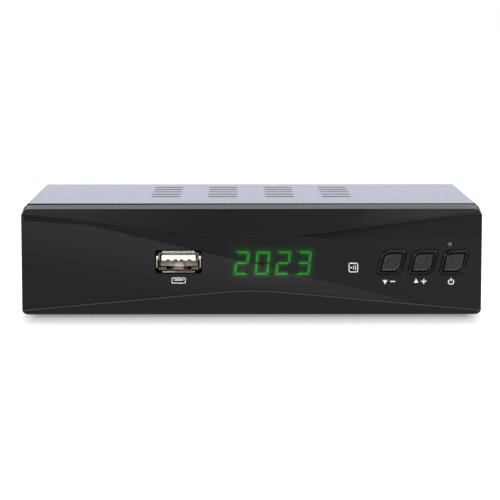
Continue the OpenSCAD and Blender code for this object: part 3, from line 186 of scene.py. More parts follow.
def stage_sheet(name, corners, material):
    """A flat sheet of the stage through the given corners."""
    bm = bmesh.new()
    bm.faces.new([bm.verts.new(corner) for corner in corners])
    mesh = bpy.data.meshes.new(name)
    bm.to_mesh(mesh)
    bm.free()
    mesh.materials.append(material)
    sheet = bpy.data.objects.new(name, mesh)
    scene.collection.objects.link(sheet)
    return sheet


def build_floor():
    material = bpy.data.materials.new("pale_floor")
    material.use_nodes = True
    tree = material.node_tree
    paper = tree.nodes["Principled BSDF"]
    paper.inputs["Base Color"].default_value = (FLOOR_TONE, FLOOR_TONE, FLOOR_TONE, 1)
    paper.inputs["Roughness"].default_value = FLOOR_ROUGHNESS
    paper.inputs["Specular IOR Level"].default_value = 0.0
    place = add(tree, "ShaderNodeTexCoord").outputs["Object"]
    spread = add(tree, "ShaderNodeVectorMath", {0: place}, operation="ABSOLUTE").outputs[0]
    inside = cad_high - SHADE_INSET
    beyond = add(tree, "ShaderNodeVectorMath", {0: spread, 1: inside}, operation="SUBTRACT").outputs[0]
    shaped = add(tree, "ShaderNodeVectorMath", {0: beyond, 1: SHADE_SHAPE}, operation="MULTIPLY").outputs[0]
    outside = add(tree, "ShaderNodeVectorMath", {0: shaped, 1: (0, 0, 0)}, operation="MAXIMUM").outputs[0]
    away = add(tree, "ShaderNodeVectorMath", {0: outside}, operation="LENGTH").outputs["Value"]
    fade = {"Value": away, "From Min": 0.0, "From Max": SHADE_REACH, "To Min": FLOOR_GLOW, "To Max": 1.0}
    glow = {0: seen_directly(tree), 1: add(tree, "ShaderNodeMapRange", fade).outputs["Result"]}
    strength = add(tree, "ShaderNodeMath", glow, operation="MULTIPLY").outputs[0]
    lift = add(tree, "ShaderNodeEmission", {"Strength": strength})
    total = add(tree, "ShaderNodeAddShader", {0: paper.outputs[0], 1: lift.outputs[0]})
    tree.links.new(total.outputs[0], tree.nodes["Material Output"].inputs["Surface"])
    half = FLOOR_SIZE / 2
    stage_sheet("floor", [(-half, -half, 0), (half, -half, 0), (half, half, 0), (-half, half, 0)], material)


build_sky()
build_floor()
print("world:", scene.world.name, "floor in m:", FLOOR_SIZE)

# %% [markdown]
# ## What the gloss mirrors
# Polished black shows what lies round it. A photographer places grey cards for that, and so does this
# scene: they are seen by gloss and through clear pieces only. The cards on the floor put the slanting edge
# of a table into the window sheet and shade the lips. Those overhead give the panel's top strip and its
# round ends their greys. A card changes from one tone to another along a direction.

# %% Place the reflected cards
TABLE_EDGE = (Vector((0.0545, -0.0736)), Vector((-0.077, -0.325)))
CARD_NEAR = cad_low.y - 4 * MM
CARD_FAR = -0.75
CARD_SIDE = 0.4
CARD_TINT = (1.0, 0.97, 1.05, 1)
TABLE_LIFT = 0.5 * MM
SHADE_LIFT = 0.6 * MM
LIP_LIFT = 0.7 * MM
OVERHEAD = 1.4


def grey_card(name, start, end, lift, outline, along=(1, 0, 0)):
    """A card for reflections. Start and end are each a length along a direction and the tone there."""
    material = bpy.data.materials.new(name)
    material.use_nodes = True
    tree = material.node_tree
    place = add(tree, "ShaderNodeTexCoord").outputs["Object"]
    length = add(tree, "ShaderNodeVectorMath", {0: place, 1: along}, operation="DOT_PRODUCT")
    ends = {"From Min": start[0], "From Max": end[0], "To Min": start[1], "To Max": end[1]}
    tones = {"Value": length.outputs["Value"], **ends}
    tone = add(tree, "ShaderNodeMapRange", tones).outputs["Result"]
    glow = add(tree, "ShaderNodeEmission", {"Color": CARD_TINT, "Strength": tone})
    tree.links.new(glow.outputs[0], tree.nodes["Material Output"].inputs["Surface"])
    card = stage_sheet(name, [(x, y, lift) for x, y in outline], material)
    card.visible_camera = False
    card.visible_diffuse = False
    card.visible_shadow = False


def on_edge(y):
    """The point of the mirrored edge at a distance y."""
    near, far = TABLE_EDGE
    return near + (far - near) * (y - near.y) / (far.y - near.y)


near_end = on_edge(CARD_NEAR)
far_end = on_edge(CARD_FAR)
left_side = [(-CARD_SIDE, CARD_FAR), (-CARD_SIDE, CARD_NEAR)]
right_side = [(CARD_SIDE, CARD_NEAR), (CARD_SIDE, CARD_FAR)]
light_side = [near_end, far_end, *left_side]
grey_card("light_card", (0.033, 0.53), (0.173, 0.82), TABLE_LIFT, light_side, (1.5, -1, 0))
grey_card("dark_card", (-0.03, 0.44), (0.088, 0.62), TABLE_LIFT, [far_end, near_end, *right_side])
upper_lip = [(0.0436, -0.2995), (0.115, -0.374), (0.3, -0.55), (0.1, -0.6)]
grey_card("upper_lip_card", (0.03, 0.47), (0.09, 1.1), LIP_LIFT, upper_lip)
left_lip = [(-0.019, -0.2775), (-0.02, -0.6), (-0.3, -0.62), (-0.1033, -0.372), (-0.0877, -0.3436)]
grey_card("left_lip_card", (-0.105, 0.92), (-0.025, 0.49), LIP_LIFT, left_lip)
left_shade = [(-0.1078, -0.3647), (-0.1036, -0.3329), (-0.0688, -0.3134), (-0.07, -0.3303)]
grey_card("left_shade_card", (-0.107, 0.38), (-0.07, 0.44), SHADE_LIFT, left_shade)
lip_shade = [(0.02, -0.272), (0.05, -0.306), (0.119, -0.378), (0.115, -0.27), (0.045, -0.255)]
grey_card("lip_shade_card", (-0.115, 0.3), (-0.0915, 0.54), SHADE_LIFT, lip_shade, (0.857, 0.516, 0))
lower_lip = [(-0.08, CARD_NEAR), (0.08, CARD_NEAR), (0, cad_low.y - 63 * MM)]
grey_card("lower_lip_card", (-0.05, 0.6), (0.05, 0.6), LIP_LIFT, lower_lip)
print("mirrored edge in m from", [round(v, 3) for v in near_end], "to", [round(v, 3) for v in far_end])

# %% Hang the cards overhead
ceiling = [(-1.3, -1.5), (1.3, -1.5), (1.3, 0.9), (-1.3, 0.9)]
grey_card("ceiling_card", (-1, 0.25), (1, 0.25), OVERHEAD, ceiling)
strip_light = [(-1.3, 1.5), (1.3, 1.5), (1.3, 2.5), (-1.3, 2.5)]
grey_card("strip_card", (-1, 1.3), (1, 1.3), OVERHEAD, strip_light)
right_wing = [(1.3, -1.5), (12, -1.5), (12, 10), (1.3, 10)]
left_wing = [(-x, y) for x, y in reversed(right_wing)]
grey_card("right_wing_card", (-1, 0.35), (1, 0.35), OVERHEAD, right_wing)
grey_card("left_wing_card", (-1, 0.35), (1, 0.35), OVERHEAD, left_wing)

# %% [markdown]
# ## Lamps
# Four soft boxes light the box. The key lamp hangs behind it, is hidden from gloss and throws the short
# shadow forwards. Two low lamps reach into the socket, and a long one overhead draws the bright line on
# the lower lip.

# %% Hang the lamps
def lamp(name, place, aim, size, power):
    """A soft box, given by its width and length, that shines from its place towards its aim."""
    data = bpy.data.lights.new(name, "AREA")
    data.shape = "RECTANGLE"
    data.size, data.size_y = size
    data.energy = power
    box = bpy.data.objects.new(name, data)
    box.location = place
    box.rotation_euler = (Vector(aim) - Vector(place)).to_track_quat("-Z", "Y").to_euler()
    scene.collection.objects.link(box)
    return box


key = lamp("key_lamp", (0.1, 0.55, 1.1), (0, 0, 0), (0.9, 0.9), 13.0)
key.visible_glossy = False
for side, word in ((-1, "left"), (1, "right")):
    lamp(word + "_lamp", (side * 0.48, -0.9, 0.35), (0, 0, 0.02), (0.3, 0.3), 4.5)
lamp("top_lamp", (0, -0.2, 1.0), (0, -0.05, 0), (0.95, 0.15), 0.85)

# %% [markdown]
# ## Finishes
# A real surface is never one flat colour: moulded plastic has faint flow marks and a slightly wavy skin,
# paint has a fine grain, plated sheet shows its rolling direction. One function makes a finish of two
# close tones, an uneven gloss and a shallow relief, and each finish says how coarse these are.

# %% A finish with tones, gloss and relief
TONE_STOPS = (0.35, 0.65)
finishes = {}


def finish(slot, tones, rough, patch, grain, relief, sockets=(), stretch=(1, 1, 1)):
    """Tones and rough are pairs, patch and grain are sizes in metres, and relief is a height in metres."""
    material = bpy.data.materials.new(slot)
    material.use_nodes = True
    tree = material.node_tree
    shader = tree.nodes["Principled BSDF"]
    for name, value in dict(sockets).items():
        shader.inputs[name].default_value = value
    blotches = speckle(tree, patch, stretch=stretch)
    tone = add(tree, "ShaderNodeValToRGB", {"Fac": blotches})
    for stop, place, colour in zip(tone.color_ramp.elements, TONE_STOPS, tones):
        stop.position = place
        stop.color = (*colour, 1)
    tree.links.new(tone.outputs["Color"], shader.inputs["Base Color"])
    tree.links.new(between(tree, blotches, *rough), shader.inputs["Roughness"])
    height = speckle(tree, grain, stretch=stretch)
    bump = add(tree, "ShaderNodeBump", {"Height": height, "Strength": 1.0, "Distance": relief})
    tree.links.new(bump.outputs["Normal"], shader.inputs["Normal"])
    finishes[slot] = material
    return shader


# %% [markdown]
# ### Outside: moulded gloss, smoked sheet, satin paint
# The panel is polished black plastic. The sheet between its lips is clear plastic with a smoky dye, so it
# mirrors the room and still lets the clock through: that is a transmissive shader with a dark tint. The
# cover and the chassis are steel with a fine satin powder coat. Two finishes are for parts of the panel
# that gloss doesn't suit: a matt black band in front of the cover, which is a painted shadow of a gap, and
# the satin slope under the upper lip.

# %% Outside finishes
finish("gloss_black", [(0.0016, 0.0016, 0.0018), (0.0022, 0.0022, 0.0025)], (0.03, 0.05),
       9 * MM, 3 * MM, 0.002 * MM, {"IOR": 1.45})
finish("smoked_window", [(0.05, 0.044, 0.045), (0.06, 0.053, 0.054)], (0.006, 0.012),
       12 * MM, 5 * MM, 0.0012 * MM, {"IOR": 1.5, "Transmission Weight": 1.0})
finish("painted_steel", [(0.016, 0.017, 0.019), (0.021, 0.022, 0.025)], (0.13, 0.18),
       1.2 * MM, 0.22 * MM, 0.0012 * MM, {"IOR": 1.6})
finish("rubber", [(0.012, 0.012, 0.012), (0.02, 0.02, 0.02)], (0.7, 0.85), 1 * MM, 0.15 * MM, 0.01 * MM)
# Painted shadow of a gap: a matt black for the band of the panel in front of the cover.
finish("shadow_gap", [(0.004, 0.004, 0.004), (0.007, 0.007, 0.008)], (0.8, 0.95),
       1 * MM, 0.2 * MM, 0.004 * MM, {"Specular IOR Level": 0.0})
finish("satin_edge", [(0.013, 0.0127, 0.0136), (0.017, 0.0167, 0.0176)], (0.3, 0.4),
       1 * MM, 0.2 * MM, 0.003 * MM)
cap_shader = finish("cap_plastic", [(0.002, 0.0019, 0.0023), (0.003, 0.0029, 0.0034)], (0.24, 0.3),
                    0.8 * MM, 0.1 * MM, 0.002 * MM, {"Specular IOR Level": 0.4})
print("outside finishes:", list(finishes))

# %% [markdown]
# The buttons get a fine raised check further down. Its tips are painted a paler grey while the valleys stay
# black: a painted highlight on the tips, so that the fine check shows. An attribute tells the finish which
# points are tips.

# %% Painted highlight on the tips of the buttons
PAINTED_TIP_LIGHT = (0.042, 0.0405, 0.046, 1)
cap_tree = finishes["cap_plastic"].node_tree
raised = add(cap_tree, "ShaderNodeAttribute", attribute_name="raised").outputs["Fac"]
plain = cap_shader.inputs["Base Color"].links[0].from_socket
# Painted highlight: the tips are mixed towards a paler grey.
painted_tone = add(cap_tree, "ShaderNodeMix", {0: raised, 6: plain, 7: PAINTED_TIP_LIGHT}, data_type="RGBA")
cap_tree.links.new(painted_tone.outputs[2], cap_shader.inputs["Base Color"])
print("nodes in the caps' finish:", len(cap_tree.nodes))

# %% [markdown]
# ### Metals
# Plated shells and barrels are bright and slightly uneven; screws and cans are duller. A noise that is
# drawn out along the rolling direction gives the sheet its fine lines.

# %% Metal finishes
METAL = {"Metallic": 1.0}
ALONG_DEPTH = (1, 0.08, 1)
NICKEL = ([(0.64, 0.60, 0.53), (0.74, 0.695, 0.615)], (0.08, 0.16), 0.6 * MM, 0.12 * MM, 0.0015 * MM,
          METAL, ALONG_DEPTH)
finish("nickel", *NICKEL)
# Painted shade goes into this copy of the nickel, for the front socket.
socket_shader = finish("shaded_socket_nickel", *NICKEL)
finish("gold_contact", [(0.72, 0.50, 0.18), (0.82, 0.60, 0.25)], (0.18, 0.3), 0.8 * MM, 0.1 * MM,
       0.003 * MM, METAL)
# Painted shade: a dark copy of the gold, for the contacts deep in the socket.
finish("shaded_contact", [(0.05, 0.032, 0.016), (0.08, 0.05, 0.024)], (0.3, 0.4), 0.8 * MM, 0.1 * MM,
       0.003 * MM, METAL)
finish("tinplate", [(0.52, 0.53, 0.54), (0.66, 0.67, 0.68)], (0.28, 0.42), 2 * MM, 0.3 * MM,
       0.004 * MM, METAL)
finish("screw_steel", [(0.40, 0.41, 0.43), (0.52, 0.53, 0.55)], (0.25, 0.4), 0.7 * MM, 0.1 * MM,
       0.005 * MM, METAL)
finish("bare_aluminium", [(0.55, 0.56, 0.57), (0.68, 0.69, 0.70)], (0.35, 0.5), 1 * MM, 0.1 * MM, 0.006 * MM,
       METAL, ALONG_DEPTH)
print("finishes with the metals:", len(finishes))

# %% [markdown]
# ### Plastics, resins and boards
# The parts inside show through the slots and the sockets. They get the same kind of finish with their own
# colours: ivory plungers, white nylon, black mouldings, green solder mask and dark chip resin. The front
# board gets a nearly black copy of the green laminate as painted shade, so that it doesn't shine through the
# window sheet.

# %% Plastics and boards
finish("plunger_plastic", [(0.50, 0.48, 0.42), (0.58, 0.56, 0.50)], (0.4, 0.5), 1 * MM, 0.2 * MM, 0.004 * MM)
WHITE = ([(0.85, 0.84, 0.815), (0.90, 0.895, 0.875)], (0.35, 0.45), 1.5 * MM, 0.2 * MM, 0.003 * MM)
finish("white_plastic", *WHITE)
finish("black_moulding", [(0.010, 0.010, 0.011), (0.016, 0.016, 0.017)], (0.4, 0.55), 1 * MM, 0.15 * MM,
       0.006 * MM)
finish("orange_plastic", [(0.62, 0.17, 0.02), (0.72, 0.22, 0.03)], (0.35, 0.45), 1 * MM, 0.2 * MM,
       0.003 * MM)
finish("ribbon_grey", [(0.20, 0.205, 0.21), (0.36, 0.365, 0.37)], (0.4, 0.5), 1.27 * MM, 0.4 * MM, 0.02 * MM,
       (), (1, 0.02, 0.02))
finish("board_laminate", [(0.012, 0.055, 0.022), (0.03, 0.12, 0.05)], (0.25, 0.4), 2.5 * MM, 0.8 * MM,
       0.01 * MM)
# Painted shade: a nearly black copy of the board laminate, for the front board.
finish("shaded_laminate", [(0.004, 0.006, 0.005), (0.008, 0.011, 0.009)], (0.25, 0.4), 2.5 * MM, 0.8 * MM,
       0.01 * MM)
finish("chip_resin", [(0.010, 0.010, 0.011), (0.017, 0.017, 0.018)], (0.5, 0.65), 0.8 * MM, 0.1 * MM,
       0.008 * MM)
finish("ferrite", [(0.03, 0.03, 0.033), (0.05, 0.05, 0.055)], (0.5, 0.7), 0.7 * MM, 0.15 * MM, 0.02 * MM)
finish("capacitor_sleeve", [(0.010, 0.014, 0.04), (0.016, 0.022, 0.06)], (0.2, 0.3), 3 * MM, 1 * MM,
       0.004 * MM)
print("finishes with the plastics:", len(finishes))

# %% [markdown]
# Little light reaches into the front socket, and what does is warmed by its nickel. That is painted into its
# finishes as shade: the plating darkens behind the mouth and along the lower lip, and the white tongue turns
# a darker warm brown behind its tip and darker on its top. A tint that is multiplied into a finish does
# this, and it changes along an axis. A stop is a place along the axis and the tint from there on.

# %% Paint shade into the socket's inside
WARM_SHADE = (0.98, 0.90, 0.80, 1)
SHADE = (0.5, 0.46, 0.40, 1)
LOWER_LIP_SHADE = (0.44, 0.42, 0.39, 1)
BRIGHT = (1, 1, 1, 1)
shell_low, shell_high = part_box("usb_shell")
tongue_low, tongue_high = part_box("usb_tongue")


def paint_shade(shader, slot, axis, start, end):
    """Multiplies a finish's tones by a tint that changes along an axis between two stops."""
    tree = finishes[slot].node_tree
    place = add(tree, "ShaderNodeTexCoord").outputs["Object"]
    along = add(tree, "ShaderNodeSeparateXYZ", {"Vector": place}).outputs[axis]
    share = add(tree, "ShaderNodeMapRange", {"Value": along, "From Min": start[0], "From Max": end[0]})
    tint = {0: share.outputs["Result"], 6: start[1], 7: end[1]}
    painted_tone = add(tree, "ShaderNodeMix", tint, data_type="RGBA").outputs[2]
    plain = shader.inputs["Base Color"].links[0].from_socket
    both = {0: 1.0, 6: plain, 7: painted_tone}
    product = add(tree, "ShaderNodeMix", both, data_type="RGBA", blend_type="MULTIPLY").outputs[2]
    tree.links.new(product, shader.inputs["Base Color"])


# Painted shade: the shell darkens from its mouth inwards.
mouth = (shell_low.y + 0.15 * MM, BRIGHT)
inside = (shell_low.y + 0.5 * MM, SHADE)
paint_shade(socket_shader, "shaded_socket_nickel", "Y", mouth, inside)
# Painted shade: the shell is darker along its lower lip.
lip = (shell_low.z + 1.0 * MM, LOWER_LIP_SHADE)
above_lip = (shell_low.z + 1.8 * MM, BRIGHT)
paint_shade(socket_shader, "shaded_socket_nickel", "Z", lip, above_lip)
# Painted shade, tinted warm brown like the light from the nickel: the tongue darkens behind its tip.
tongue_shader = finish("shaded_socket_white", *WHITE)
tip = (tongue_low.y + 0.1 * MM, BRIGHT)
behind_tip = (tongue_low.y + 0.5 * MM, WARM_SHADE)
paint_shade(tongue_shader, "shaded_socket_white", "Y", tip, behind_tip)
# Painted shade on the top of the tongue.
side = (tongue_high.z - 0.12 * MM, BRIGHT)
top = (tongue_high.z - 0.02 * MM, SHADE)
paint_shade(tongue_shader, "shaded_socket_white", "Z", side, top)
print("socket from", round(shell_low.y / MM, 2), "to", round(shell_high.y / MM, 2), "mm")

# %% [markdown]
# ### Lamps and eyes
# The standby lamp is tinted clear resin and is off. The infrared eye is resin that is nearly black. The
# unlit segments are milky plastic in the shade.

# %% Resins
finish("lamp_resin", [(0.075, 0.045, 0.034), (0.11, 0.065, 0.048)], (0.06, 0.12), 0.9 * MM, 0.3 * MM,
       0.002 * MM, {"Transmission Weight": 0.2, "IOR": 1.55})
finish("eye_resin", [(0.010, 0.006, 0.007), (0.016, 0.010, 0.011)], (0.08, 0.15), 1 * MM, 0.5 * MM,
       0.002 * MM)
finish("unlit_segment", [(0.012, 0.011, 0.010), (0.018, 0.016, 0.015)], (0.5, 0.6), 0.8 * MM, 0.2 * MM,
       0.003 * MM)
print("finishes with the resins:", len(finishes))

# %% [markdown]
# ### The lit clock
# Each lit segment is a little light box. Light also creeps into the dark face round it, so the face has a
# glow that fades with the distance from the nearest lit segment. A node can't measure that distance by
# itself, so an attribute carries the glow of each point.

# %% Finishes of the clock
SEGMENT_POWER = 5.4
HALO_POWER = 1.5
GREEN = (0.001, 1.0, 0.001, 1)

finish("lit_green", [(0.02, 0.25, 0.03), (0.03, 0.32, 0.04)], (0.3, 0.4), 0.5 * MM, 0.2 * MM,
       0.002 * MM, {"Emission Color": GREEN, "Emission Strength": SEGMENT_POWER})
face_shader = finish("display_black", [(0.002, 0.0014, 0.0014), (0.003, 0.002, 0.002)], (0.45, 0.55),
                     2 * MM, 0.4 * MM, 0.003 * MM, {"Emission Color": GREEN, "Specular IOR Level": 0.1})
face_tree = finishes["display_black"].node_tree
halo = add(face_tree, "ShaderNodeAttribute", attribute_name="halo").outputs["Fac"]
halo_light = add(face_tree, "ShaderNodeMath", {0: halo, 1: HALO_POWER}, operation="MULTIPLY")
face_tree.links.new(halo_light.outputs[0], face_shader.inputs["Emission Strength"])
print("strength of a segment:", SEGMENT_POWER, "and of the glow beside it:", HALO_POWER)

# %% [markdown]
# ### Dressing the nodes
# The record names a material slot for each node, and the finishes have the slots' names. A few pieces get a
# look of their own instead, with painted shade, because they lie in the shade: the front socket's shell,
# tongue and contacts, and the front board.

# %% Dress every CAD node
# Pieces with painted shade, and the finishes they get instead of their slots'.
LOOKS = {"usb_shell": "shaded_socket_nickel", "usb_tongue": "shaded_socket_white",
         "usb_contacts": "shaded_contact", "front_board": "shaded_laminate"}
for name, cad in nodes.items():
    cad.data.materials.clear()
    cad.data.materials.append(finishes[LOOKS.get(name, slot_of[name])])
print("finishes:", len(finishes), "nodes dressed:", len(nodes))

# %% [markdown]
# ## Soft edges
# No moulded or pressed edge is perfectly sharp, and the thin bright line along an edge is what makes a
# dark object readable. The CAD mesh is loose triangles, so a copy is merged, its flat stretches are joined
# into single faces, and a narrow Bevel modifier rounds what is still sharp. Weighted normals keep the flat
# faces flat. The copy stands for its node.

# %% Helpers for pieces
WELD = 0.001 * MM
FLAT = radians(0.3)
SHARP = radians(35)


def merged_copy(name):
    """A bmesh of a CAD node with shared points, and one face for each flat stretch."""
    bm = bmesh.new()
    bm.from_mesh(nodes[name].data)
    bmesh.ops.remove_doubles(bm, verts=bm.verts, dist=WELD)
    bmesh.ops.dissolve_limit(bm, angle_limit=FLAT, verts=bm.verts, edges=bm.edges)
    return bm


def add_piece(name, bm, slot, body="case", look=None):
    """Turns a bmesh into a piece of a slot, riding on a body, with the slot's finish or its own look."""
    mesh = bpy.data.meshes.new(name)
    bm.to_mesh(mesh)
    bm.free()
    mesh.shade_smooth()
    mesh.set_sharp_from_angle(angle=SHARP)
    mesh.materials.append(finishes[look or slot])
    piece = bpy.data.objects.new(name, mesh)
    scene.collection.objects.link(piece)
    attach(piece, body)
    return piece


def round_edges(piece, width, angle=SHARP):
    """Rounds the sharp edges of a piece by a live Bevel modifier."""
    bevel = piece.modifiers.new("soft edges", "BEVEL")
    bevel.width = width
    bevel.segments = 2
    bevel.use_clamp_overlap = False
    bevel.limit_method = "ANGLE"
    bevel.angle_limit = angle
    flat = piece.modifiers.new("flat faces", "WEIGHTED_NORMAL")
    flat.keep_sharp = True


# %% [markdown]
# The front panel needs more care. Bevel weights keep the rounding to its front, because the ribs behind are
# thin. The strip along its top is cut in front of the cover, and the faces behind the cut get a matt black:
# a painted shadow of a gap there, wider on the left. The slope under the upper lip is satin.

# %% Helpers for the panel
FRONT_DEPTH = 1 * MM
GAP_LEFT = 1.15 * MM
GAP_RIGHT = 0.7 * MM
STRIP_DEPTH = 3 * MM
SLOPE_DEPTH = 0.5 * MM
SLOPE_BOTTOM = 25 * MM
STRIP_UP = 0.9
STRIP_FORWARDS = -0.2
SLOPE_LEAN = -0.5
GAP_SHADOW, SATIN = 1, 2


def mark_front(bm, depth):
    """Gives full bevel weight to the sharp edges in front of a depth, and none to the rest."""
    weight = bm.edges.layers.float.new("bevel_weight_edge")
    for edge in bm.edges:
        if edge.calc_face_angle(0) > SHARP and max(point.co.y for point in edge.verts) < depth:
            edge[weight] = 1.0


def on_strip(face):
    """Tells whether a face belongs to the gentle slope along the panel's top."""
    return face.normal.z > STRIP_UP and face.normal.y < STRIP_FORWARDS


def on_lip_slope(face):
    """Tells whether a face belongs to the slope under the upper lip, which looks down and forwards."""
    middle = face.calc_center_median()
    leans = max(face.normal.z, face.normal.y) < SLOPE_LEAN
    return leans and middle.y < cad_low.y + SLOPE_DEPTH and middle.z > SLOPE_BOTTOM


def mark_shadow_and_satin(bm):
    """Cuts the strip in front of the cover and marks the faces with the painted gap shadow and the satin
    faces.
    """
    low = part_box("top_cover")[0].y
    start = Vector((cad_low.x, low - GAP_LEFT, 0))
    end = Vector((cad_high.x, low - GAP_RIGHT, 0))
    lean = Vector((start.y - end.y, end.x - start.x, 0)).normalized()
    strip = [f for f in bm.faces if on_strip(f) and f.calc_center_median().y > low - STRIP_DEPTH]
    edges = {e for f in strip for e in f.edges}
    verts = {v for f in strip for v in f.verts}
    bmesh.ops.bisect_plane(bm, geom=[*strip, *edges, *verts], plane_co=start, plane_no=lean)
    for face in bm.faces:
        # Painted shadow: strip faces behind the cut get the matt black of the gap.
        if on_strip(face) and (face.calc_center_median() - start).dot(lean) > 0:
            face.material_index = GAP_SHADOW
        if on_lip_slope(face):
            face.material_index = SATIN
    marks = [face.material_index for face in bm.faces]
    print("dull faces:", marks.count(GAP_SHADOW), "satin faces:", marks.count(SATIN))


# %% [markdown]
# The list below holds the pieces that show and how wide their edges are rounded: little on bent sheet, more
# on moulded sockets, most on the tips of pins.

# %% Soften the pieces that show
def soften(name, width):
    """Shows a softened copy instead of a CAD node. Of the panel only the front is rounded."""
    bm = merged_copy(name)
    if name == "front_bezel":
        mark_front(bm, cad_low.y + FRONT_DEPTH)
        mark_shadow_and_satin(bm)
    piece = add_piece("soft_" + name, bm, slot_of[name], body_of[name], LOOKS.get(name))
    round_edges(piece, width)
    if name == "front_bezel":
        piece.modifiers["soft edges"].limit_method = "WEIGHT"
        piece.data.materials.append(finishes["shadow_gap"])
        piece.data.materials.append(finishes["satin_edge"])
    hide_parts(name)


EDGE_WIDTHS = {
    "front_bezel": 0.05 * MM,
    "front_lens": 0.06 * MM,
    "top_cover": 0.05 * MM,
    "chassis": 0.05 * MM,
    "usb_shell": 0.06 * MM,
    "usb_tongue": 0.08 * MM,
    "hdmi_shell": 0.08 * MM,
    "hdmi_tongue": 0.08 * MM,
    "scart_body": 0.12 * MM,
    "rf_in_barrel": 0.15 * MM,
    "rf_out_barrel": 0.12 * MM,
    "rf_out_pin": 0.3 * MM,
    "rf_in_contact": 0.12 * MM,
    "audio_jack_barrel": 0.1 * MM,
    "audio_jack_insert": 0.2 * MM,
    "power_jack_body": 0.15 * MM,
    "power_jack_pin": 0.3 * MM,
    "rubber_feet": 0.2 * MM,
}
for name, width in EDGE_WIDTHS.items():
    soften(name, width)
print("softened:", len(EDGE_WIDTHS))

# %% Cut the check
CHECK_PITCH = 0.75 * MM
CHECK_DEPTH = 0.2 * MM
CHECK_MARGIN = 0.2 * MM
CAP_EDGE = 0.1 * MM
CAP_SHARP = radians(80)
SPARE_CUTS = 3
DIAGONALS = (45, -45)
FORWARDS = -0.99


def check_face(bm):
    """Turns the foremost face into a field of small pyramids, marks their tips and returns their number."""
    raised = bm.verts.layers.float.new("raised")
    front = min(bm.faces, key=lambda face: face.calc_center_median().y)
    level = front.calc_center_median().y + CHECK_DEPTH
    middle = front.calc_center_bounds()
    steps = int(max(edge.calc_length() for edge in front.edges) / CHECK_PITCH) + SPARE_CUTS
    bmesh.ops.inset_individual(bm, faces=[front], thickness=CHECK_MARGIN, depth=-CHECK_DEPTH)

    def field():
        flat = [f for f in bm.faces if f.normal.y < FORWARDS]
        return [f for f in flat if abs(f.calc_center_median().y - level) < WELD]

    for slant in DIAGONALS:
        across = Vector((cos(radians(slant)), 0, sin(radians(slant))))
        for step in range(-steps, steps + 1):
            faces = field()
            edges = {e for f in faces for e in f.edges}
            verts = {v for f in faces for v in f.verts}
            cut = [*faces, *edges, *verts]
            place = middle + across * step * CHECK_PITCH
            bmesh.ops.bisect_plane(bm, geom=cut, plane_co=place, plane_no=across)
    tips = bmesh.ops.poke(bm, faces=field(), offset=CHECK_DEPTH, center_mode="MEAN")["verts"]
    for tip in tips:
        tip[raised] = 1.0
    return len(tips)


for name in ("channel_down_button", "channel_up_button", "power_button"):
    cap = merged_copy(name)
    count = check_face(cap)
    piece = add_piece("checked_" + name, cap, slot_of[name], body_of[name])
    round_edges(piece, CAP_EDGE, CAP_SHARP)
    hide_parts(name)
    print(name, "pyramids:", count)

# %% [markdown]
# ## The face of the clock
# The face needs points close together, or the glow would be drawn in coarse steps. A grid is turned
# upright, its border is pulled back to the board and closed, and each point gets its glow from the
# distance to the nearest lit segment, found with a search tree. The face lies a hair behind the segments.

# %% Make the glowing face
FACE_STEP = 0.3 * MM
FACE_SET_BACK = 0.02 * MM
HALO_REACH = 0.55 * MM


def clock_face():
    low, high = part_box("display_housing")
    size = high - low
    bm = bmesh.new()
    columns = round(size.x / FACE_STEP)
    rows = round(size.z / FACE_STEP)
    bmesh.ops.create_grid(bm, x_segments=columns, y_segments=rows, size=0.5)
    middle = Vector(((low.x + high.x) / 2, low.y + FACE_SET_BACK, (low.z + high.z) / 2))
    upright = Matrix.Rotation(pi / 2, 4, "X")
    spread = Matrix.Diagonal((size.x, size.z, 1, 1))
    bmesh.ops.transform(bm, matrix=Matrix.Translation(middle) @ upright @ spread, verts=bm.verts)
    border = [edge for edge in bm.edges if edge.is_boundary]
    pulled = bmesh.ops.extrude_edge_only(bm, edges=border)["geom"]
    back = [v for v in pulled if isinstance(v, bmesh.types.BMVert)]
    bmesh.ops.translate(bm, verts=back, vec=(0, size.y - FACE_SET_BACK, 0))
    rim = [edge for edge in bm.edges if edge.is_boundary]
    bmesh.ops.holes_fill(bm, edges=rim, sides=0)
    bmesh.ops.recalc_face_normals(bm, faces=bm.faces)
    return bm


def fill_halo(mesh):
    """Writes each point's glow, which fades with its distance from the lit segments."""
    segments = merged_copy("lit_segments")
    tree = BVHTree.FromBMesh(segments)
    segments.free()
    glow = mesh.attributes.new("halo", "FLOAT", "POINT")
    distances = [tree.find_nearest(vertex.co)[3] for vertex in mesh.vertices]
    for point, distance in zip(glow.data, distances):
        point.value = exp(-distance / HALO_REACH)


face_piece = add_piece("clock_face", clock_face(), "display_black")
fill_halo(face_piece.data)
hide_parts("display_housing")
print("clock face points:", len(face_piece.data.vertices))

# %% [markdown]
# ## Printed signs
# White ink on the window sheet tells what the parts are for: a triangle with minus or plus under the
# channel buttons, a ring with a bar under the power button, a framed wave over the infrared eye and a
# small socket under the serial port. Ink has a thickness, so each sign is a very thin solid. Bars, patches
# and parts of rings are enough to draw them all.

# %% Helpers for ink
INK_T = 0.012 * MM
STROKE = 0.36 * MM
ROUND_STEPS = 24
ink_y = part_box("front_lens")[0].y - INK_T
finish("ink_white", [(0.70, 0.71, 0.72), (0.78, 0.79, 0.80)], (0.45, 0.6), 0.4 * MM, 0.1 * MM, 0.002 * MM)


def ink_bar(bm, x, z, width, height):
    """A bar of ink about its middle."""
    place = Matrix.Translation((x, ink_y + INK_T / 2, z))
    bmesh.ops.create_cube(bm, size=1, matrix=place @ Matrix.Diagonal((width, INK_T, height, 1)))


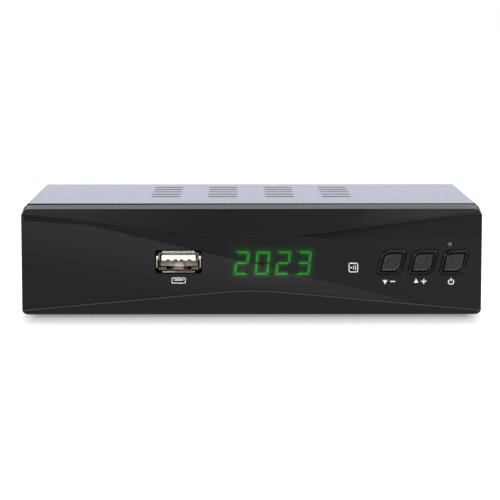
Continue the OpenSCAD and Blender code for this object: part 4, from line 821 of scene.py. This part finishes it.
def ink_ring(bm, x, z, radius, start, sweep, stroke=STROKE):
    """Part of a ring of ink. Angles are in degrees from the right, turning upwards."""
    inner = radius - stroke / 2
    outer = radius + stroke / 2
    corners = ((inner, 0), (outer, 0), (outer, INK_T), (inner, INK_T))
    turn = Matrix.Translation((x, ink_y, z)) @ Matrix.Rotation(-radians(start), 4, "Y")
    verts = [bm.verts.new(turn @ Vector((r, depth, 0))) for r, depth in corners]
    profile = bm.faces.new(verts)
    path = {"cent": (x, ink_y, z), "axis": (0, -1, 0), "angle": radians(sweep), "steps": ROUND_STEPS}
    bmesh.ops.spin(bm, geom=[profile], **path)


def ink_patch(bm, x, z, radius, corners, up=True):
    """A filled patch: three corners make a triangle that points up or down, and many make a dot."""
    place = Matrix.Translation((x, ink_y + INK_T / 2, z))
    flat = place @ Matrix.Rotation(pi / 2 if up else -pi / 2, 4, "X")
    shape = {"segments": corners, "radius1": radius, "radius2": radius, "depth": INK_T}
    bmesh.ops.create_cone(bm, cap_ends=True, matrix=flat, **shape)


def ink_frame(bm, x, z, half_w, half_h, corner, stroke):
    """An outline with round corners: four bars and four quarter rings."""
    for side in (-1, 1):
        ink_bar(bm, x, z + side * (half_h - stroke / 2), 2 * (half_w - corner), stroke)
        ink_bar(bm, x + side * (half_w - stroke / 2), z, stroke, 2 * (half_h - corner))
    for quarter, (sx, sz) in enumerate(((1, 1), (-1, 1), (-1, -1), (1, -1))):
        cx = x + sx * (half_w - corner)
        cz = z + sz * (half_h - corner)
        ink_ring(bm, cx, cz, corner - stroke / 2, 90 * quarter, 90, stroke)


# %% [markdown]
# The signs stand under the middle of what they belong to, a little to the left under the slanting caps.
# Strokes of one sign meet without lying on each other, or two faces would fight for the same place. Where
# a bar goes on as a ring, the wall between them is taken out at the end.

# %% Print the signs of the buttons
SIGN_Z = 11.8 * MM
SIGN_H = 1.7 * MM
SIGN_SHIFT = -0.9 * MM
SIGN_GAP = 1.25 * MM
TRIANGLE_R = 0.95 * MM
POWER_R = 0.85 * MM
POWER_DROP = 0.1 * MM
POWER_ARC = (130, 280)
POWER_BAR_H = 1.1 * MM


def middle_x(name):
    low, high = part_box(name)
    return (low.x + high.x) / 2


def middle_z(name):
    low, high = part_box(name)
    return (low.z + high.z) / 2


ink = bmesh.new()
down_x = middle_x("channel_down_button") + SIGN_SHIFT
ink_patch(ink, down_x - SIGN_GAP, SIGN_Z, TRIANGLE_R, 3, up=False)
ink_bar(ink, down_x + SIGN_GAP, SIGN_Z, SIGN_H, STROKE)
up_x = middle_x("channel_up_button") + SIGN_SHIFT
ink_patch(ink, up_x - SIGN_GAP, SIGN_Z, TRIANGLE_R, 3)
ink_bar(ink, up_x + SIGN_GAP, SIGN_Z, SIGN_H, STROKE)
arm = (SIGN_H - STROKE) / 2
for side in (-1, 1):
    ink_bar(ink, up_x + SIGN_GAP, SIGN_Z + side * (STROKE + arm) / 2, STROKE, arm)
power_x = middle_x("power_button") + SIGN_SHIFT
ink_ring(ink, power_x, SIGN_Z - POWER_DROP, POWER_R, *POWER_ARC)
ink_bar(ink, power_x, SIGN_Z + POWER_BAR_H / 2, STROKE, POWER_BAR_H)
print("button signs at x in mm:", [round(x / MM, 2) for x in (down_x, up_x, power_x)])

# %% Print the signs of the eye and the port
FINE_STROKE = 0.24 * MM
EYE_HALF = 1.56 * MM
EYE_CORNER = 0.6 * MM
EYE_STROKE = 0.32 * MM
EYE_LIFT = 0.05 * MM
SOURCE_SHIFT = -0.7 * MM
SOURCE_R = 0.28 * MM
WAVES = ((0.8 * MM, 42), (1.42 * MM, 34))
PORT_Z = 12.15 * MM
PORT_HALVES = (2.3 * MM, 0.95 * MM)
PORT_CORNER = 0.35 * MM
PORT_TONGUE = (2.9 * MM, 0.34 * MM)
TONGUE_LIFT = 0.2 * MM

eye_x = middle_x("infrared_eye")
eye_z = middle_z("infrared_eye") + EYE_LIFT
source_x = eye_x + SOURCE_SHIFT
ink_frame(ink, eye_x, eye_z, EYE_HALF, EYE_HALF, EYE_CORNER, EYE_STROKE)
ink_patch(ink, source_x, eye_z, SOURCE_R, ROUND_STEPS)
for radius, half in WAVES:
    ink_ring(ink, source_x, eye_z, radius, -half, 2 * half, FINE_STROKE)
port_x = middle_x("usb_shell")
ink_frame(ink, port_x, PORT_Z, *PORT_HALVES, PORT_CORNER, FINE_STROKE)
ink_bar(ink, port_x, PORT_Z + TONGUE_LIFT, *PORT_TONGUE)
bmesh.ops.remove_doubles(ink, verts=ink.verts, dist=WELD)
walls = [face for face in ink.faces if all(len(edge.link_faces) > 2 for edge in face.edges)]
bmesh.ops.delete(ink, geom=walls, context="FACES_ONLY")
bmesh.ops.recalc_face_normals(ink, faces=ink.faces)
print("ink faces:", len(ink.faces), "walls taken out:", len(walls))
add_piece("printed_signs", ink, "white_plastic", look="ink_white")

# %% [markdown]
# ## Cross recesses in the cover's screws
# A screw without its recess looks like a rivet. The recess is a cross of two blades, sunk into each
# head with a Boolean modifier that is applied at once, so the finished mesh holds the shape.

# %% Cut the recesses
RECESS_L = 3.0 * MM
RECESS_W = 0.75 * MM
RECESS_D = 0.9 * MM


def recess_cutter():
    """Two crossed blades in each of the four heads on the sides of the cover."""
    bm = bmesh.new()
    low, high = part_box("cover_screws")
    head_r = (high.z - low.z) / 2
    depths = (low.y + head_r, high.y - head_r)
    for x in (low.x, high.x):
        for y in depths:
            for length, width in ((RECESS_L, RECESS_W), (RECESS_W, RECESS_L)):
                place = Matrix.Translation((x, y, low.z + head_r))
                blade = place @ Matrix.Diagonal((2 * RECESS_D, length, width, 1))
                bmesh.ops.create_cube(bm, size=1, matrix=blade)
    return bm


def cut_away(piece, bm):
    """Takes the cutter's solids out of a piece and leaves no modifier behind."""
    mesh = bpy.data.meshes.new("cutter")
    bm.to_mesh(mesh)
    bm.free()
    cutter = bpy.data.objects.new("cutter", mesh)
    scene.collection.objects.link(cutter)
    boolean = piece.modifiers.new("recess", "BOOLEAN")
    boolean.object = cutter
    boolean.use_self = True
    graph = bpy.context.evaluated_depsgraph_get()
    finished = bpy.data.meshes.new_from_object(piece.evaluated_get(graph))
    piece.modifiers.clear()
    piece.data = finished
    bpy.data.objects.remove(cutter)


screws = add_piece("recessed_cover_screws", merged_copy("cover_screws"), "screw_steel")
cut_away(screws, recess_cutter())
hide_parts("cover_screws")
print("screw faces:", len(screws.data.polygons))
